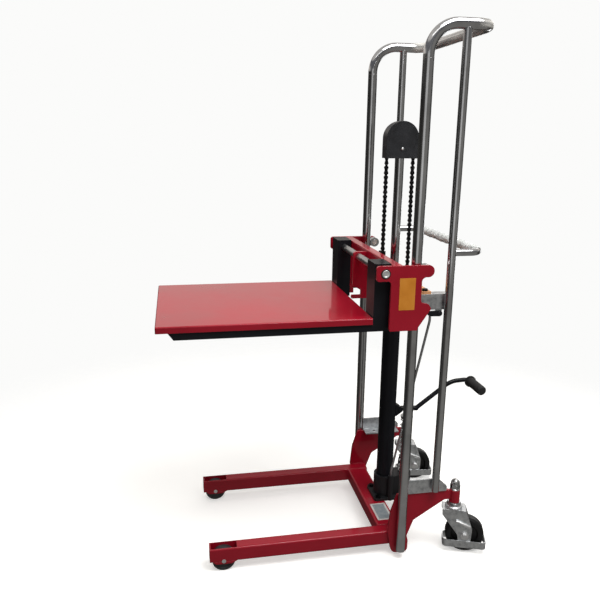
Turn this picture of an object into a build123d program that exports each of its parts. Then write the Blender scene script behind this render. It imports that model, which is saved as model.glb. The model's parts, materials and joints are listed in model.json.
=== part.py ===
from build123d import *

import math
import os

os.makedirs("parts", exist_ok=True)

# Mini stacker: straddle base, chrome tube mast, foot-pumped ram with a leaf chain over a sheave, and a carriage
# with two forks and a load platform. Millimetres, +Z up, front is -Y, operator at +Y, left is +X.
# Origin: middle of the bounding box, on the floor.

SIDES = {"left": 1, "right": -1}

# Clearances
SEAT = 0.2  # welded or clamped piece beside a round tube
RUN = 0.05  # running fit, on the radius
END_PLAY = 0.4  # turning piece beside a fixed face
GROOVE_GAP = 0.3  # carriage roller groove to post

# Platform and forks
PLATFORM_L = 650
PLATFORM_W = 545
PLATFORM_T = 3
PLATFORM_TOP = 854
SKIRT_H = 20
PLATFORM_GAP = 2
FORK_W = 80
FORK_WALL = 5
FORK_UPRIGHT_D = 50
FORK_ARM_H = 40
FORK_TOP = 1022
FORK_TIP_SETBACK = 22
FORK_TIP_SLANT = 30
FORK_GAP = 18  # fork side to carriage plate
SHAFT_D = 24
SHAFT_REACH = 106  # front post axis to fork shaft axis
SHAFT_Z = 996

# Mast
POST_D = 32
POST_WALL = 2.5
POST_FOOT = 26
REAR_POST_D = 25
POST_PITCH = 112
LOOP_Z = 1702
LOOP_BEND_R = 85
LOOP_CORNER_R = 50
LOOP_REACH = 190
HANDLE_D = 22
HANDLE_Z = 1051
HANDLE_REACH = 207
HANDLE_CORNER_R = 35
LOOP_FILM_T = 1.6
HANDLE_FILM_T = 4.2

# Base
LEG_W = 44
LEG_H = 50
LEG_TOP = 84
LEG_WALL = 4
TUBE_R = 6  # outer corners of the square tubes
LEG_REACH = 642
LEG_TAIL = 18
CHEEK_DROP = 7
ROLLER_D = 75
ROLLER_SETBACK = 46
LOAD_AXLE_D = 14
BEAM_D = 76
BEAM_H = 48
BEAM_TAIL = 14
GUSSET_T = 10
GUSSET_TOP = 228
BRACKET_T = 5
BRACKET_W = 50
MID_TOP = 919
MID_FLANGE_W = 34
CROSS_PLATE_T = 8

# Casters
CASTER_SETBACK = 194
BUSH_D = 36
BUSH_H = 43
STEM_D = 20
CASTER_D = 130
CASTER_W = 34
CASTER_TRAIL = 42
CASTER_AXLE_D = 12
CASTER_TURN = {"left": -20, "right": -8}
RACE_D = 58
RACE_H = 20
CASTER_PLATE_T = 4
LEDGE_H = 7  # pressed ledge across each fork cheek
LEDGE_OUT = 6
GUARD_H = 26
GUARD_LIFT = 20
GUARD_L = 146
GUARD_T = 3

# Lift: cylinder, ram, chain
CYL_SETBACK = 24
CYL_D = 60
CYL_BORE = 50
ROD_D = 28
PISTON_H = 30
DOWN_STROKE = 362
CHAIN_PITCH = 15.875
LINK_H = 13
WRAP_LINKS = 9
FRONT_LINKS = 24
REAR_LINKS = 29
SHEAVE_Z = 1387
SHEAVE_AXLE_D = 16
COVER_W = 44
COVER_WALL = 2
COVER_DROP = 64

# Pump and release
FOOT_T = 10
BLOCK_H = 86
PIVOT_OFFSET = 42  # cylinder axis to pedal pivot
PRESS_ARM = 34  # pedal pivot to pump axis
PIVOT_Z = 426
PIVOT_D = 10
PLUNGER_D = 16
PRESS_R = 14
LEVER_R = 6
PEDAL_BAR_D = 16
PEDAL_REACH = 330
PEDAL_Z = 524
GRIP_D = 34
GRIP_L = 98
GRIP_COLLAR_D = 42
SPRING_R = 20
SPRING_WIRE = 4.4
SPRING_TURNS = 10
RELEASE_ARM = 30
RELEASE_SETBACK = 87
RELEASE_ROD_D = 8
VALVE_X = 47

# Carriage
PLATE_T = 9
PLATE_GAP = 21  # post axis to plate inner face
CARRIAGE_TOP = 1020
CARRIAGE_FOOT = 817
RIM_R = 17
THROAT_R = 13.5
ROLLER_W = 23
PIN_D = 12
UPPER_ROLLER_Z = 1001.5
LOWER_ROLLER_Z = 850
TOP_BAR = 30
RIB_T = 10

# Shared planes and axes worked out from the sizes above
platform_rear = SHAFT_REACH + FORK_UPRIGHT_D / 2 + PLATFORM_GAP
POST_Y = (platform_rear + PLATFORM_L - PEDAL_REACH - GRIP_COLLAR_D / 2) / 2
REAR_Y = POST_Y + POST_PITCH
CASTER_Y = POST_Y + CASTER_SETBACK
CYL_Y = POST_Y + CYL_SETBACK
PIVOT_Y = CYL_Y + PIVOT_OFFSET
PUMP_Y = PIVOT_Y + PRESS_ARM
SHAFT_Y = POST_Y - SHAFT_REACH
fork_x = PLATFORM_W / 2 - PLATFORM_T - 1.5  # outer face of the forks
plate_x = fork_x + FORK_GAP  # inner face of the carriage plates
POST_X = plate_x - PLATE_GAP
bracket_x = POST_X - REAR_POST_D / 2 - SEAT  # outer face of the angle brackets
gusset_x = POST_X - POST_D / 2 - SEAT  # outer face of the gussets
leg_x = gusset_x - GUSSET_T  # outer face of the legs


def finish(builder: BuildPart, node: str) -> None:
    """Label a finished piece and write its STEP file."""
    builder.part.label = node
    export_step(builder.part, f"parts/{node}.step")


def at_x(x: float) -> Plane:
    """Upright plane along the machine at x; local axes are Y and Z, its normal points left."""
    return Plane.YZ.offset(x)


def at_y(y: float) -> Plane:
    """Upright plane across the machine at y; local axes are X and Z, its normal points forward."""
    return Plane.XZ.offset(-y)


def at_z(z: float) -> Plane:
    """Level plane at height z."""
    return Plane.XY.offset(z)


def turn(outline: list, centre: tuple, along: tuple = (0, 0, 1), mode: Mode = Mode.ADD) -> None:
    """Turn an outline about an axis, inside the current part.

    A level axis takes (place along the axis, radius) points; the upright one takes (radius, height) points.
    """
    axis = Vector(*along)
    middle = Vector(*centre)
    if axis.Z > 0.5:
        plane = Plane(origin=(middle.X, middle.Y, 0), x_dir=(1, 0, 0), z_dir=(0, -1, 0))
    else:
        plane = Plane(origin=middle, x_dir=axis, z_dir=axis.cross(Vector(0, 0, 1)))
    with BuildSketch(plane) as section:
        Polygon(*outline, align=None)
    revolve(section.sketch, axis=Axis(middle, axis), mode=mode)


def from_post(points: list) -> list:
    """Outline points given as (set-back from the front post axis, height) in the part's frame."""
    return [(POST_Y + back, z) for back, z in points]


# Base: legs with load rollers, beam, gussets with caster bush
load_y = POST_Y - LEG_REACH + ROLLER_SETBACK
load_z = ROLLER_D / 2
leg_foot = LEG_TOP - LEG_H
leg_mid = leg_x - LEG_W / 2
roller_half = LEG_W / 2 - LEG_WALL - END_PLAY
for side, sign in SIDES.items():
    with BuildPart() as leg:
        with BuildSketch(at_y(POST_Y + LEG_TAIL)):
            with Locations((sign * leg_mid, LEG_TOP - LEG_H / 2)):
                RectangleRounded(LEG_W, LEG_H, TUBE_R)
                RectangleRounded(
                    LEG_W - 2 * LEG_WALL, LEG_H - 2 * LEG_WALL, TUBE_R - LEG_WALL, mode=Mode.SUBTRACT
                )
        extrude(amount=LEG_TAIL + LEG_REACH)
        with Locations((sign * leg_mid, load_y, LEG_TOP - LEG_H / 2)):
            Box(LEG_W - 2 * LEG_WALL, ROLLER_D + 12, 2 * LEG_H, mode=Mode.SUBTRACT)
        with BuildSketch(at_y(POST_Y - LEG_REACH + LEG_WALL)):
            with Locations((sign * leg_mid, LEG_TOP - LEG_H / 2)):
                RectangleRounded(LEG_W, LEG_H, TUBE_R)
        extrude(amount=LEG_WALL)
        for wall in (-1, 1):
            with BuildSketch(at_x(sign * leg_mid + wall * (LEG_W - LEG_WALL) / 2)):
                Polygon(
                    (load_y - 36, leg_foot + 2),
                    (load_y - 24, leg_foot - CHEEK_DROP),
                    (load_y + 26, leg_foot - CHEEK_DROP),
                    (load_y + 44, leg_foot + 2),
                    align=None,
                )
            extrude(amount=LEG_WALL / 2, both=True)
        with BuildSketch(at_x(sign * leg_mid)):
            with Locations((load_y, load_z)):
                Circle(LOAD_AXLE_D / 2 + RUN)
        extrude(amount=LEG_W, both=True, mode=Mode.SUBTRACT)
    finish(leg, f"leg_{side}")

    with BuildPart() as load_roller:
        turn(
            [
                (-roller_half, LOAD_AXLE_D / 2 + RUN),
                (roller_half, LOAD_AXLE_D / 2 + RUN),
                (roller_half, LOAD_AXLE_D / 2 + 6),
                (roller_half - 3, LOAD_AXLE_D / 2 + 7),
                (roller_half - 3, ROLLER_D / 2 - 10),
                (roller_half, ROLLER_D / 2 - 9),
                (roller_half, ROLLER_D / 2 - 2),
                (roller_half - 2, ROLLER_D / 2),
                (2 - roller_half, ROLLER_D / 2),
                (-roller_half, ROLLER_D / 2 - 2),
                (-roller_half, ROLLER_D / 2 - 9),
                (3 - roller_half, ROLLER_D / 2 - 10),
                (3 - roller_half, LOAD_AXLE_D / 2 + 7),
                (-roller_half, LOAD_AXLE_D / 2 + 6),
            ],
            (sign * leg_mid, load_y, load_z),
            (1, 0, 0),
        )
    finish(load_roller, f"load_roller_{side}")

with BuildPart() as load_axles:
    for sign in SIDES.values():
        with BuildSketch(at_x(sign * leg_mid)):
            with Locations((load_y, load_z)):
                Circle(LOAD_AXLE_D / 2)
        extrude(amount=LEG_W / 2 + 1, both=True)
finish(load_axles, "load_axles")

bolt_r = 5
foot_bolts = [(sign * 42, CYL_Y - 36) for sign in (-1, 1)]
beam_half = leg_x - LEG_W
with BuildPart() as cross_beam:
    with BuildSketch(at_x(-beam_half)):
        with Locations((POST_Y + BEAM_TAIL - BEAM_D / 2, LEG_TOP - BEAM_H / 2)):
            RectangleRounded(BEAM_D, BEAM_H, TUBE_R)
            RectangleRounded(
                BEAM_D - 2 * LEG_WALL, BEAM_H - 2 * LEG_WALL, TUBE_R - LEG_WALL, mode=Mode.SUBTRACT
            )
    extrude(amount=2 * beam_half)
    with BuildSketch(at_z(LEG_TOP)):
        with Locations(*foot_bolts):
            Circle(bolt_r + SEAT)
    extrude(amount=-2 * LEG_WALL, mode=Mode.SUBTRACT)
finish(cross_beam, "cross_beam")

bush_x = gusset_x - GUSSET_T / 2
bush_top = GUSSET_TOP - 2
bush_foot = bush_top - BUSH_H
gusset_outline = from_post(
    [
        (-14, GUSSET_TOP),
        (-34, GUSSET_TOP - 66),
        (-41, 86),
        (-25, 6),
        (32, 6),
        (32, 50),
        (27, 68),
        (48, 126),
        (CASTER_SETBACK - 38, GUSSET_TOP - 35),
        (CASTER_SETBACK, GUSSET_TOP - 35),
        (CASTER_SETBACK, bush_top),
        (CASTER_SETBACK - 19, bush_top),
        (CASTER_SETBACK - 23, GUSSET_TOP),
    ]
)
for side, sign in SIDES.items():
    with BuildPart() as gusset:
        with BuildSketch(at_x(sign * gusset_x)):
            with BuildLine():
                FilletPolyline(*gusset_outline, radius=[4, 30, 30, 22, 14, 10, 10, 14, 20, 0, 0, 0, 0], close=True)
            make_face()
        extrude(amount=-sign * GUSSET_T)
        with Locations((sign * bush_x, CASTER_Y, bush_foot)):
            Cylinder(BUSH_D / 2, BUSH_H, align=(Align.CENTER, Align.CENTER, Align.MIN))
            Cylinder(
                STEM_D / 2 + RUN, BUSH_H, align=(Align.CENTER, Align.CENTER, Align.MIN), mode=Mode.SUBTRACT
            )
    finish(gusset, f"gusset_{side}")

# Casters: stem with dome nut on the frame, then fork, axle and wheel that swivel
race_top = bush_foot - 3
crown_z = race_top - RACE_H
crown_foot = crown_z - CASTER_PLATE_T
cheek_in = CASTER_W / 2 + 4
cheek_out = cheek_in + CASTER_PLATE_T
caster_z = CASTER_D / 2
with BuildPart() as caster_stems:
    for sign in SIDES.values():
        dome = [(15 * math.cos(a), bush_top + 25 + 14 * math.sin(a)) for a in (0, 0.4, 0.8, 1.2)]
        turn(
            [
                (0, crown_foot - END_PLAY - 10),
                (15, crown_foot - END_PLAY - 10),
                (15, crown_foot - END_PLAY),
                (STEM_D / 2, crown_foot - END_PLAY),
                (STEM_D / 2, race_top + END_PLAY),
                (22, race_top + END_PLAY),
                (22, bush_foot),
                (STEM_D / 2, bush_foot),
                (STEM_D / 2, bush_top),
                (17, bush_top),
                (17, bush_top + 4),
                (15, bush_top + 6),
                *dome,
                (0, bush_top + 39),
            ],
            (sign * bush_x, CASTER_Y, 0),
        )
        with BuildSketch(at_z(bush_top + 4)):
            with Locations((sign * bush_x, CASTER_Y)):
                RegularPolygon(17, 6)
        extrude(amount=16)
finish(caster_stems, "caster_stems")

for side, sign in SIDES.items():
    heading = math.radians(CASTER_TURN[side])
    across = Vector(math.cos(heading), math.sin(heading), 0)
    trail = Vector(-math.sin(heading), math.cos(heading), 0)
    swivel = Vector(sign * bush_x, CASTER_Y, 0)
    hub = swivel + trail * CASTER_TRAIL + Vector(0, 0, caster_z)
    upright = Plane(origin=swivel, x_dir=trail, z_dir=across)
    ground = Plane(origin=swivel, x_dir=across, z_dir=(0, 0, 1))
    cheek_outline = [
        (-38, crown_z),
        (41, crown_z),
        (CASTER_TRAIL + 23, caster_z + 28),
        (CASTER_TRAIL + 21, caster_z - 26),
        (CASTER_TRAIL - 21, caster_z - 26),
        (CASTER_TRAIL - 25, caster_z + 2),
        (-38, crown_z - 20),
    ]
    with BuildPart() as caster_fork:
        for cheek in (-1, 1):
            with BuildSketch(upright.offset(cheek * cheek_in)):
                with BuildLine():
                    FilletPolyline(*cheek_outline, radius=[0, 0, 16, 16, 16, 24, 8], close=True)
                make_face()
                with Locations((CASTER_TRAIL, caster_z)):
                    Circle(CASTER_AXLE_D / 2 + RUN, mode=Mode.SUBTRACT)
            extrude(amount=cheek * CASTER_PLATE_T)
            with BuildSketch(upright.offset(cheek * cheek_out)):
                with Locations((CASTER_TRAIL - 8, caster_z + 46)):
                    RectangleRounded(54, LEDGE_H, LEDGE_H / 2 - 0.5, rotation=-22)
            extrude(amount=cheek * LEDGE_OUT)
        with BuildSketch(upright.offset(-cheek_out)):
            with Locations((1.5, crown_z - CASTER_PLATE_T / 2)):
                Rectangle(79, CASTER_PLATE_T)
        extrude(amount=2 * cheek_out)
        turn(
            [
                (0, crown_z),
                (RACE_D / 2, crown_z),
                (RACE_D / 2, crown_z + 7),
                (RACE_D / 2 - 2, crown_z + 9),
                (24, crown_z + 10),
                (23, race_top),
                (0, race_top),
            ],
            swivel,
        )
        with BuildSketch(ground.offset(GUARD_LIFT)):
            with Locations((0, CASTER_TRAIL)):
                RectangleRounded(2 * (cheek_out + GUARD_T), GUARD_L, 12)
                RectangleRounded(2 * cheek_out, GUARD_L - 2 * GUARD_T, 9, mode=Mode.SUBTRACT)
        extrude(amount=GUARD_H)
        with BuildSketch(ground.offset(crown_foot)):
            Circle(STEM_D / 2 + RUN)
        extrude(amount=RACE_H + CASTER_PLATE_T, mode=Mode.SUBTRACT)
    finish(caster_fork, f"caster_fork_{side}")

    with BuildPart() as caster_axle:
        with BuildSketch(upright):
            with Locations((CASTER_TRAIL, caster_z)):
                Circle(CASTER_AXLE_D / 2)
        extrude(amount=cheek_out, both=True)
        for cheek in (-1, 1):
            with BuildSketch(upright.offset(cheek * cheek_out)):
                with Locations((CASTER_TRAIL, caster_z)):
                    Circle(14)
            extrude(amount=cheek * 3)
            with BuildSketch(upright.offset(cheek * (cheek_out + 3))):
                with Locations((CASTER_TRAIL, caster_z)):
                    RegularPolygon(10.5, 6)
            extrude(amount=cheek * 7)
    finish(caster_axle, f"caster_axle_{side}")

    hub_half = cheek_in - END_PLAY
    tread = CASTER_W / 2
    half = [
        (hub_half, CASTER_AXLE_D / 2 + RUN),
        (hub_half, 16),
        (8, 18),
        (8, caster_z - 23),
        (tread, caster_z - 19),
        (tread, caster_z - 7),
        (tread - 5, caster_z),
    ]
    with BuildPart() as caster_wheel:
        turn([*half, *[(-a, r) for a, r in reversed(half)]], hub, across)
    finish(caster_wheel, f"caster_wheel_{side}")

# Mast: posts, top loop, brackets, push handle, packing film
loop_foot = LOOP_Z - LOOP_BEND_R - 10
for side, sign in SIDES.items():
    with BuildPart() as front_post:
        with BuildSketch(at_z(POST_FOOT)):
            with Locations((sign * POST_X, POST_Y)):
                Circle(POST_D / 2)
                Circle(POST_D / 2 - POST_WALL, mode=Mode.SUBTRACT)
        extrude(amount=loop_foot - POST_FOOT)
    finish(front_post, f"front_post_{side}")

    with BuildPart() as rear_post:
        with BuildSketch(at_z(GUSSET_TOP + 12)):
            with Locations((sign * POST_X, REAR_Y)):
                Circle(REAR_POST_D / 2)
                Circle(REAR_POST_D / 2 - POST_WALL, mode=Mode.SUBTRACT)
        extrude(amount=LOOP_Z - GUSSET_TOP - 12)
        with BuildSketch(at_y(REAR_Y)):
            with Locations((sign * POST_X, LOOP_Z)):
                Circle(POST_D / 2 + SEAT)
        extrude(amount=REAR_POST_D, both=True, mode=Mode.SUBTRACT)
    finish(rear_post, f"rear_post_{side}")

with BuildPart() as top_loop:
    with BuildLine():
        FilletPolyline(
            (POST_X, POST_Y, loop_foot),
            (POST_X, POST_Y, LOOP_Z),
            (POST_X, POST_Y + LOOP_REACH, LOOP_Z),
            (-POST_X, POST_Y + LOOP_REACH, LOOP_Z),
            (-POST_X, POST_Y, LOOP_Z),
            (-POST_X, POST_Y, loop_foot),
            radius=[LOOP_BEND_R, LOOP_CORNER_R, LOOP_CORNER_R, LOOP_BEND_R],
        )
    with BuildSketch(at_z(loop_foot)):
        with Locations((POST_X, POST_Y)):
            Circle(POST_D / 2)
    sweep()
finish(top_loop, "top_loop")

bracket_y = POST_Y + math.sqrt((POST_D / 2 + SEAT) ** 2 - (POST_X - bracket_x) ** 2) + SEAT
with BuildPart() as lower_brackets:
    for sign in SIDES.values():
        with BuildSketch(at_x(sign * bracket_x)):
            with BuildLine():
                FilletPolyline(
                    (bracket_y, GUSSET_TOP),
                    (REAR_Y + 48, GUSSET_TOP),
                    (REAR_Y + 48, GUSSET_TOP + 18),
                    (REAR_Y + 14, GUSSET_TOP + BRACKET_W),
                    (bracket_y, GUSSET_TOP + BRACKET_W),
                    radius=[0, 4, 8, 8, 0],
                    close=True,
                )
            make_face()
        extrude(amount=-sign * BRACKET_T)
        with BuildSketch(at_z(GUSSET_TOP)):
            with Locations((sign * (bracket_x - BRACKET_W / 2), (bracket_y + REAR_Y + 36) / 2)):
                Rectangle(BRACKET_W, REAR_Y + 36 - bracket_y)
            with Locations((sign * (bracket_x - 28), POST_Y + 49)):
                Circle(6, mode=Mode.SUBTRACT)
        extrude(amount=BRACKET_T)
finish(lower_brackets, "lower_brackets")

LEVER_T = 8
PIVOT_R = 4
lever_x = bracket_x + END_PLAY + LEVER_T  # outer face of the release lever
release_y = POST_Y + RELEASE_SETBACK
release_z = MID_TOP - 61
plate_bolts = [(sign * (bracket_x - 18), CYL_Y + dy) for sign in (-1, 1) for dy in (-20, 20)]
with BuildPart() as mid_brackets:
    for sign in SIDES.values():
        with BuildSketch(at_x(sign * bracket_x)):
            with Locations(((bracket_y + REAR_Y + 16) / 2, MID_TOP - BRACKET_W / 2)):
                Rectangle(REAR_Y + 16 - bracket_y, BRACKET_W)
            if sign > 0:
                with Locations((release_y, release_z)):
                    Circle(10)
                with Locations((release_y, release_z + 10)):
                    Rectangle(20, 20)
                with Locations((release_y, release_z)):
                    Circle(PIVOT_R + RUN, mode=Mode.SUBTRACT)
        extrude(amount=-sign * BRACKET_T)
        with BuildSketch(at_z(MID_TOP)):
            with Locations((sign * (bracket_x - MID_FLANGE_W / 2), (bracket_y + REAR_Y + 16) / 2)):
                Rectangle(MID_FLANGE_W, REAR_Y + 16 - bracket_y)
            with Locations(*plate_bolts):
                Circle(bolt_r + SEAT, mode=Mode.SUBTRACT)
        extrude(amount=-BRACKET_T)
finish(mid_brackets, "mid_brackets")

plate_rear = CYL_Y + 36
with BuildPart() as mid_cross_plate:
    with BuildSketch(at_z(MID_TOP)):
        with Locations((0, plate_rear - 34)):
            Rectangle(2 * gusset_x - 2, 68)
        with Locations((0, CYL_Y)):
            Circle(CYL_BORE / 2 + SEAT, mode=Mode.SUBTRACT)
        with Locations(*plate_bolts):
            Circle(bolt_r + SEAT, mode=Mode.SUBTRACT)
    extrude(amount=CROSS_PLATE_T)
finish(mid_cross_plate, "mid_cross_plate")

with BuildPart() as push_handle:
    with BuildLine():
        FilletPolyline(
            (POST_X, REAR_Y, HANDLE_Z),
            (POST_X, POST_Y + HANDLE_REACH, HANDLE_Z),
            (-POST_X, POST_Y + HANDLE_REACH, HANDLE_Z),
            (-POST_X, REAR_Y, HANDLE_Z),
            radius=HANDLE_CORNER_R,
        )
    with BuildSketch(at_y(REAR_Y)):
        with Locations((POST_X, HANDLE_Z)):
            Circle(HANDLE_D / 2)
    sweep()
    with Locations((POST_X, REAR_Y, HANDLE_Z), (-POST_X, REAR_Y, HANDLE_Z)):
        Cylinder(REAR_POST_D / 2 + SEAT, 2 * HANDLE_D, mode=Mode.SUBTRACT)
finish(push_handle, "push_handle")

with BuildPart() as packing_wraps:
    for reach, z, tube_d, film, corner in (
        (LOOP_REACH, LOOP_Z, POST_D, LOOP_FILM_T, LOOP_CORNER_R),
        (HANDLE_REACH, HANDLE_Z, HANDLE_D, HANDLE_FILM_T, HANDLE_CORNER_R),
    ):
        with BuildSketch(at_x(0)):
            with Locations((POST_Y + reach, z)):
                Circle(tube_d / 2 + GROOVE_GAP + film)
                Circle(tube_d / 2 + GROOVE_GAP, mode=Mode.SUBTRACT)
        extrude(amount=POST_X - corner - 5, both=True)
finish(packing_wraps, "packing_wraps")

with BuildPart() as frame_bolts:
    for places, seat_z in ((plate_bolts, MID_TOP + CROSS_PLATE_T), (foot_bolts, LEG_TOP + FOOT_T)):
        with BuildSketch(at_z(seat_z)):
            with Locations(*places):
                RegularPolygon(9.2, 6)
        extrude(amount=6.4)
        with BuildSketch(at_z(seat_z)):
            with Locations(*places):
                Circle(bolt_r)
        extrude(amount=-24)
finish(frame_bolts, "frame_bolts")

# Lift: pump block, cylinder, ram, sheave, cover
block_top = LEG_TOP + BLOCK_H
with BuildPart() as pump_block:
    with BuildSketch(at_z(LEG_TOP)):
        with Locations((0, (CYL_Y - 50 + PUMP_Y + 22) / 2)):
            RectangleRounded(108, PUMP_Y + 22 - CYL_Y + 50, 10)
        with Locations(*foot_bolts):
            Circle(bolt_r + SEAT, mode=Mode.SUBTRACT)
    extrude(amount=FOOT_T)
    with BuildSketch(at_z(LEG_TOP)):
        with Locations((0, CYL_Y)):
            Circle(CYL_D / 2 + 9)
        with Locations((0, PUMP_Y)):
            Circle(SPRING_R + 6)
        make_hull()
    extrude(amount=BLOCK_H)
    with BuildSketch(at_z(LEG_TOP)):
        with Locations((VALVE_X, CYL_Y + 9)):
            Circle(RELEASE_ROD_D / 2 + 6)
    extrude(amount=BLOCK_H + 14)
    with BuildSketch(at_z(block_top)):
        with Locations((0, PUMP_Y)):
            Circle(PLUNGER_D / 2 + 6)
    extrude(amount=70)
    with BuildSketch(at_z(block_top + 70)):
        with Locations((0, PUMP_Y)):
            Circle(PLUNGER_D / 2 + RUN)
    extrude(amount=-68, mode=Mode.SUBTRACT)
    with BuildSketch(at_z(block_top + 14)):
        with Locations((VALVE_X, CYL_Y + 9)):
            Circle(RELEASE_ROD_D / 2 + RUN)
    extrude(amount=-46, mode=Mode.SUBTRACT)
finish(pump_block, "pump_block")

with BuildPart() as cylinder_tube:
    with BuildSketch(at_z(block_top)):
        with Locations((0, CYL_Y)):
            Circle(CYL_D / 2)
            Circle(CYL_BORE / 2, mode=Mode.SUBTRACT)
    extrude(amount=MID_TOP - block_top)
finish(cylinder_tube, "cylinder_tube")

gland_seat = MID_TOP + CROSS_PLATE_T
with BuildPart() as cylinder_gland:
    turn(
        [
            (ROD_D / 2 + RUN, MID_TOP - 14),
            (CYL_BORE / 2 - RUN, MID_TOP - 14),
            (CYL_BORE / 2 - RUN, gland_seat),
            (ROD_D / 2 + 19, gland_seat),
            (ROD_D / 2 + 19, gland_seat + 10),
            (ROD_D / 2 + 16, gland_seat + 14),
            (ROD_D / 2 + RUN, gland_seat + 14),
        ],
        (0, CYL_Y, 0),
    )
finish(cylinder_gland, "cylinder_gland")

rod_top = SHEAVE_Z - COVER_DROP
piston_z = block_top + DOWN_STROKE + 6
with BuildPart() as ram_rod:
    turn(
        [
            (0, piston_z),
            (CYL_BORE / 2 - RUN, piston_z),
            (CYL_BORE / 2 - RUN, piston_z + PISTON_H),
            (ROD_D / 2, piston_z + PISTON_H),
            (ROD_D / 2, rod_top),
            (0, rod_top),
        ],
        (0, CYL_Y, 0),
    )
finish(ram_rod, "ram_rod")

yoke_in = 14
yoke_out = COVER_W / 2 - COVER_WALL - 2
with BuildPart() as sheave_yoke:
    with Locations((0, CYL_Y, rod_top)):
        Box(2 * yoke_out, 36, 12, align=(Align.CENTER, Align.CENTER, Align.MIN))
    for cheek in (-1, 1):
        with BuildSketch(at_x(cheek * yoke_in)):
            with Locations((CYL_Y, (rod_top + SHEAVE_Z) / 2)):
                Rectangle(32, SHEAVE_Z - rod_top)
            with Locations((CYL_Y, SHEAVE_Z)):
                Circle(16)
                Circle(SHEAVE_AXLE_D / 2 + RUN, mode=Mode.SUBTRACT)
        extrude(amount=cheek * (yoke_out - yoke_in))
finish(sheave_yoke, "sheave_yoke")

with BuildPart() as sheave_axle:
    with BuildSketch(at_x(0)):
        with Locations((CYL_Y, SHEAVE_Z)):
            Circle(SHEAVE_AXLE_D / 2)
    extrude(amount=yoke_out + 1, both=True)
finish(sheave_axle, "sheave_axle")

wrap_step = 180 / WRAP_LINKS
pitch_r = CHAIN_PITCH / (2 * math.sin(math.radians(wrap_step / 2)))
floor_r = pitch_r - LINK_H / 2 - SEAT
INNER_HALF = 2.0
OUTER_IN = 2.1
OUTER_OUT = 4.1
HEAD_OUT = 5.1
groove_half = HEAD_OUT + 0.5
rope_half = [
    (yoke_in - END_PLAY, SHEAVE_AXLE_D / 2 + RUN),
    (yoke_in - END_PLAY, SHEAVE_AXLE_D / 2 + 6),
    (groove_half + 4, SHEAVE_AXLE_D / 2 + 8),
    (groove_half + 4, floor_r + 8),
    (groove_half, floor_r + 8),
    (groove_half, floor_r),
]
with BuildPart() as chain_sheave:
    turn([*rope_half, *[(-a, r) for a, r in reversed(rope_half)]], (0, CYL_Y, SHEAVE_Z), (1, 0, 0))
finish(chain_sheave, "chain_sheave")

cover_r = pitch_r + LINK_H / 2 + 0.8 + COVER_WALL
with BuildPart() as chain_cover:
    for wall, mode in ((0, Mode.ADD), (COVER_WALL, Mode.SUBTRACT)):
        with BuildSketch(at_x(0)):
            with Locations((CYL_Y, SHEAVE_Z - COVER_DROP / 2)):
                Rectangle(2 * (cover_r - wall), COVER_DROP)
            with Locations((CYL_Y, SHEAVE_Z)):
                Circle(cover_r - wall)
        extrude(amount=COVER_W / 2 - wall, both=True, mode=mode)
    for cheek in (-1, 1):
        with BuildSketch(at_x(cheek * yoke_out)):
            with Locations((CYL_Y, SHEAVE_Z - 33)):
                Circle(6)
        extrude(amount=cheek * 2)
finish(chain_cover, "chain_cover")

# Leaf chain: solid centre links between paired outer links, on riveted pins
link_end = [math.radians(130 + 280 * k / 6) for k in range(7)]
LINK = [
    *[(LINK_H / 2 * math.cos(a), LINK_H / 2 * math.sin(a)) for a in link_end],
    *[(-LINK_H / 2 * math.cos(a), CHAIN_PITCH - LINK_H / 2 * math.sin(a)) for a in link_end],
]


def chain_length(inner: list, outer: list, pins: list, heads: list, node: str) -> None:
    """Write one length of leaf chain.

    Args:
        inner: places of the centre links, each at its first pin.
        outer: places of the paired outer links.
        pins: middles of the pins that go right through.
        heads: middles of pins of which only the heads belong to this length.
        node: name of the piece.
    """
    with BuildPart() as length:
        with BuildSketch(at_x(-INNER_HALF)):
            with Locations(*inner):
                Polygon(*LINK, align=None)
        extrude(amount=2 * INNER_HALF)
        for face in (-1, 1):
            with BuildSketch(at_x(face * OUTER_IN)):
                with Locations(*outer):
                    Polygon(*LINK, align=None)
            extrude(amount=face * (OUTER_OUT - OUTER_IN))
        with BuildSketch(at_x(-HEAD_OUT)):
            with Locations(*pins):
                RegularPolygon(3, 6)
        extrude(amount=2 * HEAD_OUT)
        for face in (-1, 1):
            if heads:
                with BuildSketch(at_x(face * OUTER_OUT)):
                    with Locations(*heads):
                        RegularPolygon(3, 6)
                extrude(amount=face * (HEAD_OUT - OUTER_OUT))
    finish(length, node)


chain_front = CYL_Y - pitch_r
chain_rear = CYL_Y + pitch_r
for node, y, links in (
    ("chain_front_run", chain_front, FRONT_LINKS),
    ("chain_rear_run", chain_rear, REAR_LINKS),
):
    pin_row = [(y, SHEAVE_Z - k * CHAIN_PITCH) for k in range(links + 1)]
    chain_length(pin_row[2::2], pin_row[1::2], pin_row[1:], pin_row[:1], node)

wrap_pins = []
wrap_links = []
for k in range(WRAP_LINKS + 1):
    angle = math.radians(k * wrap_step)
    pin = (CYL_Y + pitch_r * math.cos(angle), SHEAVE_Z + pitch_r * math.sin(angle))
    wrap_pins.append(pin)
    wrap_links.append(Location((*pin, 0), (0, 0, (k + 0.5) * wrap_step)))
chain_length(wrap_links[:-1:2], wrap_links[1:-1:2], wrap_pins[1:-1], [], "chain_wrap")

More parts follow.
